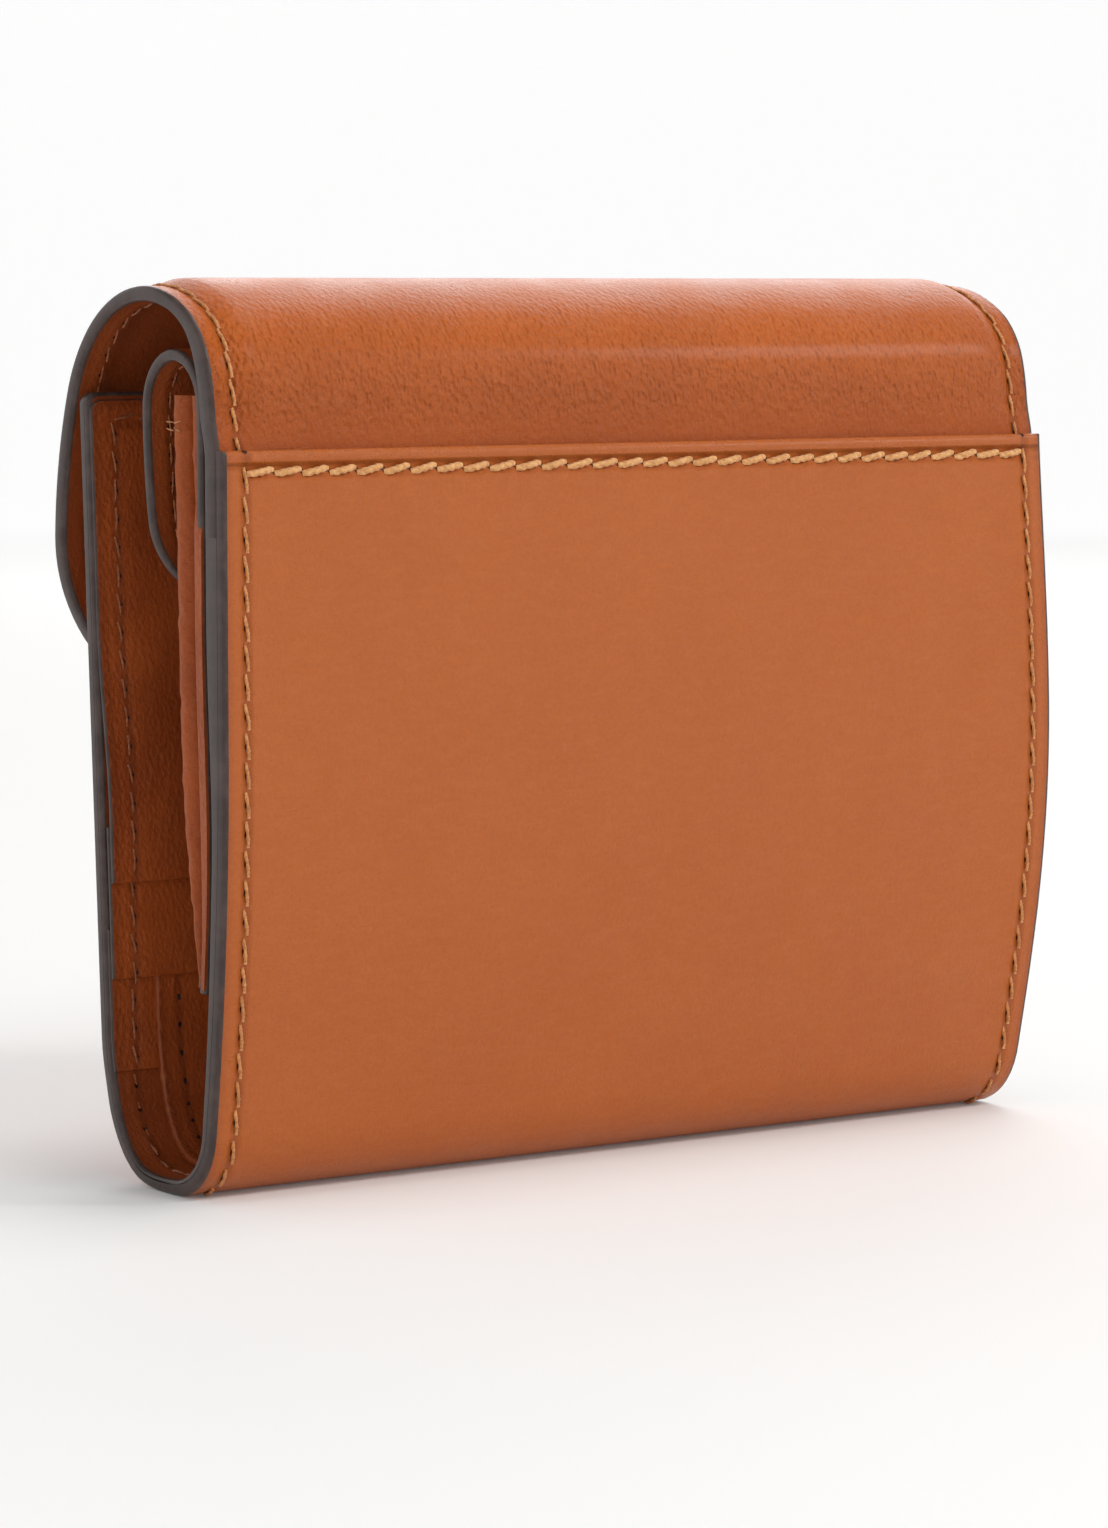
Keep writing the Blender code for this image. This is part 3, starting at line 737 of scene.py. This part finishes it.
slotLevels = (  # each slot's lower and upper edge, and how deep it lies
    ("card_slot_1", 32.0, 83.9,
     stepped(((frontAt(60.0), -0.95), (frontAt(40.0), -2.3), (frontAt(30.0), -2.3)))),
    ("card_slot_2", 21.6, 38.0, stepped(((frontAt(40.0), -1.6), (frontAt(20.0), -1.62)))),
    ("card_slot_3", 11.6, 27.0, stepped(((frontAt(40.0), -0.93), (frontAt(9.0), -0.95)))),
)


def slotRelief(x, s, side):
    wave = 0.12 * np.sin(x * 0.21 + s * 0.13) + 0.08 * np.sin(x * 0.47 - s * 0.3)
    return wave * smooth(side, 2.6, 8.0) + 0.2 * (1 - smooth(side, 2.4, 4.2)) + pinchAt(s, side) + foldSag(s)


for name, low, high, level in slotLevels:
    rounded = (frontCorner, 0) if name == "card_slot_1" else (0, 0)
    piece = sheetMesh(f"{name}_leather", shell, frontAt(high), frontAt(low), level,
                      lambda s, level=level: level(s) - slots["thick"], halfWidth - slots["inset"],
                      (liningLeather, innerLeather, edgePaint), ends=("free", "free"), corners=rounded,
                      rims=(0.05, 0.2), wrap=0.12, rolled=True, relief=slotRelief)
    fasten(piece, "front", "inner_leather", name)

coinCuts = [coin.atHeading(45.0), coin.atHeading(135.0)]
coinMid = coin.atHeading(90.0)
coinHalves = {  # stretch of the pouch's path, the two bodies that it bends between, and where the bend lies
    "wall": (coin.start, coinMid, "back", "coin_bend", 2 * coinCuts[0] - coinMid, coinMid),
    "flap": (coinMid, coin.end, "coin_bend", "coin_flap", coinMid, 2 * coinCuts[1] - coinMid),
}
coinSolids = {"wall": ("coin_pouch_back", "coin_fold"), "flap": ("coin_flap", "coin_flap_lining")}
coinCorner = 9.5
coinHalf = halfWidth - 0.2
coinThick = 1.3
coinOuter = stepped((
    (coin.atHeight(30.0, coin.start, coinMid), 1.15), (coin.atHeight(62.0, coin.start, coinMid), 0.0)))


def coinInner(s):
    return coinOuter(s) - coinThick


for name, solids in coinSolids.items():
    s0, s1 = coinHalves[name][:2]
    piece = sheetMesh(f"coin_pouch_{name}", coin, s0, s1, coinOuter, coinInner, coinHalf,
                      (innerLeather, liningLeather, edgePaint), ends=endsOf(name, "flap"),
                      corners=(0, coinCorner) if name == "flap" else (0, 0), rims=(0.45, 0.45), wrap=edgeWrap)
    bendWith(piece, coin, coinHalves[name])
    mark(piece, "inner_leather", *solids)

leafPiece = sheetMesh("coin_pouch_leaf", leaf, leaf.start, leaf.end, 0.0, -1.1, halfWidth - 2.0,
                      (liningLeather, innerLeather, innerLeather), ends=("free", "free"), corners=(0, 3.0),
                      rims=(0.4, 0.5), wrap=0.0,
                      relief=lambda x, s, side: 0.2 * np.sin(x * 0.11) * smooth(side, 2, 12))
fasten(leafPiece, "back", "inner_leather", "coin_pouch_front")

gusset = {"wall": 0.6, "edge": 0.9, "fold": 2.8, "rows": 60, "points": 34}


def gussetMesh(name, side):
    # one folded strip of leather that closes the pouch's side, from the leaf's outer face to the pouch's wall
    rings = []
    mouth = coin.atHeading(1.0)
    for j in range(gusset["rows"] + 1):
        s = leaf.start + 0.4 + (leaf.end - leaf.start - 0.7) * j / gusset["rows"]
        y, z, _ = leaf.at(s, -1.75 * min(1.0, 0.15 + (s - leaf.start) / 22.0))
        place = coin.atHeight(z, coin.start, mouth)
        over = float(smooth(z, 78.0, 70.0))
        wall = coin.at(place, coinInner(place) + 0.1 + (coinThick - 0.15) * over)[0]
        depth = wall - y
        edge = halfWidth - gusset["edge"]
        fold = gusset["fold"] * min(1.0, depth / 4.0)
        outer, inner = [], []
        for i in range(gusset["points"] + 1):
            t = i / gusset["points"]
            first = math.sin(math.pi * min(1.0, t / 0.44))
            second = 0.8 * math.sin(math.pi * max(0.0, (t - 0.44) / 0.56))
            lobe = max(0.0, first, second) ** 0.45
            crimp = 0.1 * math.sin(s * 1.9 + t * 7.0) * math.sin(s * 0.73 + 1.3)
            crimp += 0.06 * math.sin(s * 4.1 - t * 5)
            cover = over * float(smooth(t, 0.66, 0.82))
            px = edge - fold * (1 - lobe) * (0.45 if t < 0.2 else 1.0) * (1 - cover) + crimp * lobe
            px += (gusset["edge"] - 0.08 - crimp * lobe) * cover
            outer.append((px, y + depth * t))
            inner.append((px - gusset["wall"], y + 0.25 + (depth - 0.3) * t))
        rings.append([(side * px, py, z) for px, py in outer + list(reversed(inner))])
    bm = bmesh.new()
    skin = bm.loops.layers.uv.new("skin")
    row = bm.loops.layers.uv.new("seam")
    loops = [[bm.verts.new(Vector(p) * mm) for p in ring] for ring in rings]
    count = len(loops[0])
    for j, (low, high) in enumerate(zip(loops, loops[1:])):
        for i in range(count):
            face = bm.faces.new((low[i], low[(i + 1) % count], high[(i + 1) % count], high[i]))
            for loop, (a, b) in zip(face.loops, ((i, j), (i + 1, j), (i + 1, j + 1), (i, j + 1))):
                loop[skin].uv = (a * 0.22 / 100, b * 1.25 / 100)
                loop[row].uv = (0.2, b * 1.25 / 100)
    bm.faces.new(tuple(reversed(loops[0])))
    bm.faces.new(tuple(loops[-1]))
    return newPiece(name, meshOf(name, bm, gussetLeather), sharp=60)


for side, word in ((-1, "left"), (1, "right")):
    piece = gussetMesh(f"gusset_{word}", side)
    fasten(piece, "back", "inner_leather", f"coin_gusset_{word}")

print("stage 5: press studs")

snap = {"cap": 6.2, "dome": 1.1, "shank": 1.2, "socket": 4.6, "bore": 3.2, "stud": 1.6, "flange": 4.4,
        "steps": 56}


def roundPiece(name, path, s, base, profile):
    # a turned piece on the path's normal: profile holds (radius, height) pairs
    y, z, heading = path.at(s, base)
    out = Vector((0.0, math.cos(heading), math.sin(heading)))
    across = Vector((1.0, 0.0, 0.0))
    third = out.cross(across)
    centre = Vector((0.0, y, z))
    bm = bmesh.new()
    rings = []
    for radius, height in profile:
        if radius < 1e-6:
            rings.append([bm.verts.new((centre + out * height) * mm)])
            continue
        ring = []
        for i in range(snap["steps"]):
            a = 2 * math.pi * i / snap["steps"]
            spoke = (across * math.cos(a) + third * math.sin(a)) * radius
            ring.append(bm.verts.new((centre + out * height + spoke) * mm))
        rings.append(ring)
    hollow = len(rings[0]) > 1
    pairs = list(zip(rings, rings[1:])) + ([(rings[-1], rings[0])] if hollow else [])
    for low, high in pairs:
        for i in range(snap["steps"]):
            k = (i + 1) % snap["steps"]
            if len(low) == 1:
                bm.faces.new((low[0], high[k], high[i]))
            elif len(high) == 1:
                bm.faces.new((low[i], low[k], high[0]))
            else:
                bm.faces.new((low[i], low[k], high[k], high[i]))
    return newPiece(name, meshOf(name, bm, snapMetal), sharp=40)


def snapCap(prefix, path, s, inner, body, nodes):
    cap, dome, shank = snap["cap"], snap["dome"], snap["shank"]
    crown = [(0.0, 0.12 + dome)]
    crown += [(cap * 0.62 * t, 0.12 + dome - 0.05 * t * t) for t in (0.3, 0.6, 0.85, 1.0)]
    crown += [(cap * 0.66, dome - 0.08), (cap * 0.70, dome - 0.1), (cap * 0.74, dome - 0.02)]
    for degrees in (15, 30, 45, 60, 75, 88):
        a = math.radians(degrees)
        crown.append((cap * (0.74 + 0.26 * math.sin(a)), 0.1 + (dome - 0.12) * math.cos(a)))
    crown += [(cap - 0.05, 0.03), (cap - 0.5, 0.02), (shank, 0.02), (shank, inner - 0.3), (0.0, inner - 0.3)]
    piece = roundPiece(f"{prefix}_cap_metal", path, s, 0.0, crown)
    fasten(piece, body, "snap_metal", nodes[0])
    top = inner - 0.02
    outer, bore = snap["socket"], snap["bore"]
    ring = [(shank + 0.1, top), (outer - 0.1, top), (outer, top - 0.12), (outer, top - 0.4),
            (outer - 0.25, top - 0.55), (outer - 0.5, top - 1.1), (outer - 0.75, top - 1.3),
            (bore + 0.2, top - 1.3), (bore, top - 1.15), (bore, top - 0.5), (shank + 0.1, top - 0.45)]
    socket = roundPiece(f"{prefix}_socket_metal", path, s, 0.0, ring)
    fasten(socket, body, "snap_metal", nodes[1])


def snapStud(prefix, path, s, face, height, outward, body, nodes):
    flange, stud, shank = snap["flange"], snap["stud"], snap["shank"]
    rows = [(0.0, -1.2), (shank, -1.2), (shank, 0.02), (flange - 0.1, 0.02), (flange, 0.1),
            (flange - 0.1, 0.3), (flange - 0.5, 0.5), (stud + 0.3, 0.55), (stud - 0.2, 0.7),
            (stud - 0.3, height - 1.0),
            (stud - 0.05, height - 0.75), (stud, height - 0.5), (stud - 0.15, height - 0.15),
            (stud - 0.5, height), (0.0, height)]
    piece = roundPiece(f"{prefix}_stud_metal", path, s, face, [(r, h * outward) for r, h in rows])
    fasten(piece, body, "snap_metal", nodes[0])
    plate = [(0.0, -1.25), (3.4, -1.25), (3.6, -1.33), (3.6, -1.5), (3.3, -1.6), (0.0, -1.62)]
    back = roundPiece(f"{prefix}_plate_metal", path, s, face, [(r, h * outward) for r, h in plate])
    fasten(back, body, "snap_metal", nodes[1])


def facing(path, y, z, low, high):
    return path.search(lambda py, pz, h: (py - y) * -math.sin(h) + (pz - z) * math.cos(h), low, high)


flapSnap = shell.end - 10.0
y, z, _ = shell.at(flapSnap, -4.0)
frontSnap = facing(shell, y, z, shell.start, bottomCuts[3])
coinSnap = coin.end - 12.0
y, z, _ = coin.at(coinSnap, -3.4)
leafSnap = facing(leaf, y, z, leaf.start, leaf.end)
snapCap("flap_snap", shell, flapSnap, -2.6, "flap", ("flap_snap_cap", "flap_snap_socket"))
snapStud("front_snap", shell, frontSnap, wallet["proud"], 3.1, 1, "front",
         ("front_snap_stud", "front_snap_plate"))
snapCap("coin_snap", coin, coinSnap, -coinThick, "coin_flap", ("coin_flap_snap_cap", "coin_flap_snap_socket"))
snapStud("coin_leaf_snap", leaf, leafSnap, -1.1, 2.2, -1, "back", ("coin_snap_stud", "coin_snap_plate"))

print("stage 6: stitches")

sideRow = {
    "Stitch Length": 0.00272, "Thread Radius": 0.00021, "Crown": 0.00036, "Sink": 0.00012, "Twist": 8.0,
    "Wander": 0.05, "Sides": 8, "Segments": 6, "Seed": 3}
innerRow = {
    "Stitch Length": 0.0024, "Thread Radius": 0.00015, "Crown": 0.0002, "Sink": 0.00012, "Twist": 6.0,
    "Wander": 0.12, "Sides": 7, "Segments": 5, "Seed": 9}
lipRow = {
    "Stitch Length": 0.00298, "Thread Radius": 0.00038, "Crown": 0.00066, "Sink": 0.00022, "Twist": 12.0,
    "Wander": 0.05, "Sides": 12, "Segments": 14, "Seed": 5}


def stitchTree(name):
    # instances one twisted thread on each point, turned as the point's attribute says
    tree = bpy.data.node_groups.new(name, "GeometryNodeTree")
    face = tree.interface
    face.new_socket("Geometry", in_out="INPUT", socket_type="NodeSocketGeometry")
    for label, value in sideRow.items():
        kind = "NodeSocketInt" if isinstance(value, int) else "NodeSocketFloat"
        face.new_socket(label, in_out="INPUT", socket_type=kind).default_value = value
    face.new_socket("Thread", in_out="INPUT", socket_type="NodeSocketMaterial")
    face.new_socket("Geometry", in_out="OUTPUT", socket_type="NodeSocketGeometry")
    wire = Wire(tree)
    given = {socket.name: Wire(tree, socket) for socket in tree.nodes.new("NodeGroupInput").outputs}

    def vector(x, y, z):
        return wire.make("ShaderNodeCombineXYZ", None, {0: x, 1: y, 2: z})

    def named(label, kind):
        return wire.make("GeometryNodeInputNamedAttribute", {"data_type": kind}, {"Name": label})

    def turned(angles):
        return wire.make("FunctionNodeEulerToRotation", None, {0: angles})

    length, sink, reach = given["Stitch Length"], given["Sink"] * -1.0, given["Wander"]
    arc = wire.make("GeometryNodeCurveQuadraticBezier", None, {
        "Resolution": given["Segments"], "Start": vector(length * -0.5, 0.0, sink),
        "Middle": vector(0.0, 0.0, given["Crown"]), "End": vector(length * 0.5, 0.0, sink)})
    factor = wire.make("GeometryNodeSplineParameter")
    tilt = wire.make("GeometryNodeSetCurveTilt", None, {"Curve": arc, "Tilt": factor * given["Twist"]})
    circle = wire.make("GeometryNodeCurvePrimitiveCircle", None, {
        "Resolution": given["Sides"], "Radius": given["Thread Radius"]})
    place = wire.make("GeometryNodeInputPosition")
    across = wire.make("ShaderNodeSeparateXYZ", None, {0: place})
    upward = wire.make("ShaderNodeSeparateXYZ", None, {0: place}, output=1)
    lobe = wire.maths("COSINE", wire.maths("ARCTAN2", upward, across) * 2.0) * 0.1
    scaled = wire.make("ShaderNodeVectorMath", {"operation": "SCALE"}, {0: place, "Scale": lobe})
    plies = wire.make("GeometryNodeSetPosition", None, {"Geometry": circle, "Offset": scaled})
    thread = wire.make("GeometryNodeCurveToMesh", None, {
        "Fill Caps": True, "Curve": tilt, "Profile Curve": plies})
    wander = wire.make("FunctionNodeRandomValue", {"data_type": "FLOAT_VECTOR"}, {
        0: vector(0.0, 0.0, reach * -1.0), 1: vector(0.0, 0.0, reach), "Seed": given["Seed"]})
    both = wire.make("FunctionNodeRotateRotation", {"rotation_space": "LOCAL"}, {
        0: turned(named("turn", "FLOAT_VECTOR")), 1: turned(wander)})
    spread = wire.make("GeometryNodeInstanceOnPoints", None, {
        "Points": given["Geometry"], "Instance": thread, "Rotation": both, "Scale": named("size", "FLOAT")})
    real = wire.make("GeometryNodeRealizeInstances", None, {0: spread})
    paint = wire.make("GeometryNodeSetMaterial", None, {"Geometry": real, "Material": given["Thread"]})
    tree.links.new(paint.socket, tree.nodes.new("NodeGroupOutput").inputs[0])
    return tree


stitchNodes = stitchTree("stitches")
rowLift = 0.06


def stitchPiece(name, points, values, thread):
    # points hold (place, direction of the stitch, outward normal, size), in millimetres
    mesh = bpy.data.meshes.new(name)
    mesh.from_pydata([Vector(p[0]) * mm for p in points], [], [])
    turns, sizes = [], []
    for _, along, out, scale in points:
        x = Vector(along).normalized()
        y = Vector(out).cross(x).normalized()
        turns += list(Matrix((x, y, x.cross(y))).transposed().to_euler())
        sizes.append(scale)
    mesh.attributes.new("turn", "FLOAT_VECTOR", "POINT").data.foreach_set("vector", turns)
    mesh.attributes.new("size", "FLOAT", "POINT").data.foreach_set("value", sizes)
    holder = bpy.data.objects.new(name + "_points", mesh)
    bpy.context.scene.collection.objects.link(holder)
    modifier = holder.modifiers.new("stitches", "NODES")
    modifier.node_group = stitchNodes
    sockets = {item.name: item.identifier for item in stitchNodes.interface.items_tree
               if item.item_type == "SOCKET" and item.in_out == "INPUT"}
    for key, value in values.items():
        modifier[sockets[key]] = value
    modifier[sockets["Thread"]] = thread
    bpy.context.view_layer.update()
    graph = bpy.context.evaluated_depsgraph_get()
    made = bpy.data.meshes.new_from_object(holder.evaluated_get(graph), depsgraph=graph)
    bpy.data.objects.remove(holder)
    return newPiece(name, made)


def perimeterPoint(run, side, half, corner, end, toward):
    # the place and direction of the row that follows the outline round the corners at end, at length run
    row = corner - stitchInset
    edge = end - toward * corner
    beyond = (run - edge) * toward
    if beyond <= 0:
        return side * (half - stitchInset), run, 0.0, 1.0
    angle = beyond / row
    if angle <= math.pi / 2:
        return (side * (half - corner + row * math.cos(angle)), edge + toward * row * math.sin(angle),
                -toward * side * math.sin(angle), math.cos(angle))
    past = beyond - row * math.pi / 2
    return side * (half - corner - past), end - toward * stitchInset, -toward * side, 0.0


def rowPoints(path, s0, s1, level, face, half=halfWidth, corner=0.0, cornerAt="end", swell=None, slant=0.0):
    # stitches along both sides between s0 and s1, and round the free end where it has corners
    found = []
    first, last = s0, s1
    toward, end = (-1, s0) if cornerAt == "start" else (1, s1)
    if corner:
        corner = max(corner, stitchInset + 0.4)
        reach = (corner - stitchInset) * math.pi / 2 + (half - corner)
        if toward > 0:
            last = end - corner + reach
        else:
            first = end + corner - reach
    for side in (-1, 1):
        k = math.ceil(first / stitchGap)
        while k * stitchGap < last - 0.01:
            run = k * stitchGap
            k += 1
            if corner:
                x, s, dx, ds = perimeterPoint(run, side, half, corner, end, toward)
            else:
                x, s, dx, ds = side * (half - stitchInset), run, 0.0, 1.0
            if corner and abs(x) < stitchGap * 0.3:
                continue
            n = valueAt(level, s)
            if swell is not None:
                n += float(swell(np.array([x]), np.array([s]), np.array([stitchInset]))[0])
            y, z, heading = path.at(s, n + face * rowLift)
            ahead = Vector((dx, -math.sin(heading) * ds, math.cos(heading) * ds))
            out = Vector((0.0, math.cos(heading), math.sin(heading))) * face
            found.append(((x, y, z), ahead + out.cross(ahead) * slant, out, 1.0))
    return found


def slotFace(s):
    # the inner face of whichever card slot lies on top at s
    level = innerLevel(s)
    z = shell.at(s)[1]
    for _, low, high, reader in reversed(slotLevels):
        if low < z < high:
            level = min(level, reader(s) - slots["thick"])
    return level


for name, region in regions.items():
    s0, s1 = region[:2]
    if name == "back":
        s1 = 0.0
    if name == "crown_1":
        s0 = 0.0
    around = {"corner": {"front": frontCorner, "flap": flapCorner}.get(name, 0.0),
              "cornerAt": "start" if name == "front" else "end"}
    outside, swell = wallet["proud"], pocketRelief if name == "back" else insideRelief
    level, give = innerLevel, frontRelief
    if isTop(name):
        outside, swell = 0.0, coverRelief
    if isTop(name) or name == "back":
        give = coverRelief
    if name == "front":
        level, give = slotFace, slotRelief
    outerRow = rowPoints(shell, s0, s1, outside, 1, swell=swell, slant=0.16, **around)
    liningRow = rowPoints(shell, s0, s1, level, -1, swell=give, slant=0.1, **around)
    for prefix, points, row, thread in (("stitches_", outerRow, sideRow, sideThread),
                                        ("stitches_inside_", liningRow, innerRow, innerShadedThread)):
        piece = stitchPiece(prefix + name, points, row, thread)
        bendWith(piece, shell, region)
        mark(piece, "thread")

lipPoints = []
for k in range(-15, 16):
    give = pocketRelief(np.array([k * lipGap]), np.array([-lipInset]), np.array([20.0]))
    n = wallet["proud"] + float(give[0])
    y, z, heading = shell.at(-lipInset, n + 0.05)
    lipPoints.append(((k * lipGap, y, z), (-1.0, 0.0, 0.2), (0.0, 1.0, 0.0), 1.0))
lipPiece = stitchPiece("stitches_pocket_mouth", lipPoints, lipRow, lipThread)
fasten(lipPiece, "back", "thread")

for name, region in coinHalves.items():
    s0, s1 = region[:2]
    if name == "wall":
        rows, corner, s0 = [(coinInner, -1)], 0.0, s0 + 2
    else:
        rows, corner = [(0.0, 1), (coinInner, -1)], coinCorner
    points = [p for n, face in rows for p in rowPoints(coin, s0, s1, n, face, half=coinHalf, corner=corner)]
    piece = stitchPiece(f"stitches_coin_{name}", points, innerRow, innerShadedThread)
    bendWith(piece, coin, region)
    mark(piece, "thread")

tackPoints = []
for side in (-1, 1):
    for drop, sway in ((3.1, 0.1), (3.9, -0.15)):
        y, z, _ = leaf.at(leaf.end - drop, -1.2)
        for step in range(2):
            place = (side * (halfWidth - 0.62), y + step * 1.5, z)
            tackPoints.append((place, (0.0, 1.0, sway), (side, 0.0, 0.0), 0.55))
tackPiece = stitchPiece("stitches_gusset_tacks", tackPoints, innerRow, sideThread)
fasten(tackPiece, "back", "thread")

print("stage 7: floor, light and camera")

studio = {"floor": 1.5, "curve": 0.9, "wall": 1.6, "sky": 0.3}


def backdropMesh():
    # a round floor that curves up into a low wall on every side
    profile = [(0.02, 0.0), (0.3, 0.0), (studio["floor"], 0.0)]
    for degrees in range(6, 91, 6):
        a = math.radians(degrees)
        profile.append((studio["floor"] + studio["curve"] * math.sin(a),
                        studio["curve"] * (1 - math.cos(a))))
    profile.append((profile[-1][0], studio["wall"]))
    bm = bmesh.new()
    around = 96
    spokes = [(math.cos(2 * math.pi * i / around), math.sin(2 * math.pi * i / around)) for i in range(around)]
    rings = [[bm.verts.new((r * x, r * y, z)) for x, y in spokes] for r, z in profile]
    bm.faces.new(rings[0])
    for low, high in zip(rings, rings[1:]):
        for i in range(around):
            k = (i + 1) % around
            bm.faces.new((low[i], low[k], high[k], high[i]))
    bmesh.ops.recalc_face_normals(bm, faces=bm.faces)
    bmesh.ops.reverse_faces(bm, faces=[f for f in bm.faces] if rings[0][0].normal.z < 0 else [])
    mesh = bpy.data.meshes.new("backdrop")
    bm.to_mesh(mesh)
    bm.free()
    return newPiece("backdrop", mesh)


backdrop = backdropMesh()
paper, paperWire, paperShader = newMaterial("backdrop_paper", {
    "Roughness": 0.9, "Specular IOR Level": 0.1, "Emission Strength": 1.0})
paperPlace = paperWire.make("ShaderNodeTexCoord", None, None, output=3)
away = paperWire.make("ShaderNodeVectorMath", {"operation": "LENGTH"}, {0: paperPlace}, output=1)
mottle = noise(paperWire, paperPlace, 6.0, 3.0).ramp(0.2, 0.8) * 0.02
far = away.ramp(0.8, 1.5) + mottle
feed(paperWire, paperShader, {"Base Color": far.mix(rgba(0.87, 0.868, 0.865), rgba(0.5, 0.5, 0.5)),
                              "Emission Color": far.mix(rgba(0.045, 0.045, 0.045), rgba(0.64, 0.64, 0.64))})
backdrop.data.materials.append(paper)

lights = {
    "key": {"place": (-0.1, 0.75, 0.8), "size": 0.3, "power": 2.9, "tint": (1.0, 0.985, 0.96)},
    "left": {"place": (-0.75, 0.7, 0.7), "size": 0.18, "power": 2.2, "tint": (1.0, 0.99, 0.97)},
    "rim": {"place": (-0.65, -0.8, 0.6), "size": 0.7, "power": 2.9, "tint": (1.0, 0.99, 0.98)},
    "top": {"place": (-0.22, 0.04, 0.95), "size": 0.4, "power": 2.5, "tint": (1.0, 0.99, 0.98)},
    "side": {"place": (1.0, 0.1, 0.5), "size": 0.5, "power": 0.3, "tint": (0.98, 0.99, 1.0)},
}
for name, value in lights.items():
    lamp = bpy.data.lights.new(name, "AREA")
    lamp.shape = "SQUARE"
    lamp.size = value["size"]
    lamp.energy = value["power"]
    lamp.color = value["tint"]
    holder = bpy.data.objects.new(name, lamp)
    holder.location = value["place"]
    aim = Vector((0.0, 0.0, 0.05)) - Vector(value["place"])
    holder.rotation_euler = aim.to_track_quat("-Z", "Y").to_euler()
    bpy.context.scene.collection.objects.link(holder)

world = bpy.data.worlds.new("studio")
world.use_nodes = True
world.node_tree.nodes["Background"].inputs["Color"].default_value = (1.0, 1.0, 1.0, 1.0)
world.node_tree.nodes["Background"].inputs["Strength"].default_value = studio["sky"]
bpy.context.scene.world = world
bpy.context.scene.view_settings.view_transform = "Standard"

shot = {"lens": 116.55, "place": (0.3179, 0.4559, 0.0959), "yaw": 34.857, "pitch": 5.496}
lens = bpy.data.cameras.new("camera")
lens.sensor_width = 36.0
lens.lens = shot["lens"]
lens.clip_start = 0.01
camera = bpy.data.objects.new("camera", lens)
camera.location = shot["place"]
camera.rotation_euler = (math.radians(90.0 - shot["pitch"]), 0.0, math.radians(180.0 - shot["yaw"]))
bpy.context.scene.collection.objects.link(camera)
bpy.context.scene.camera = camera

print("stage 8: finish")
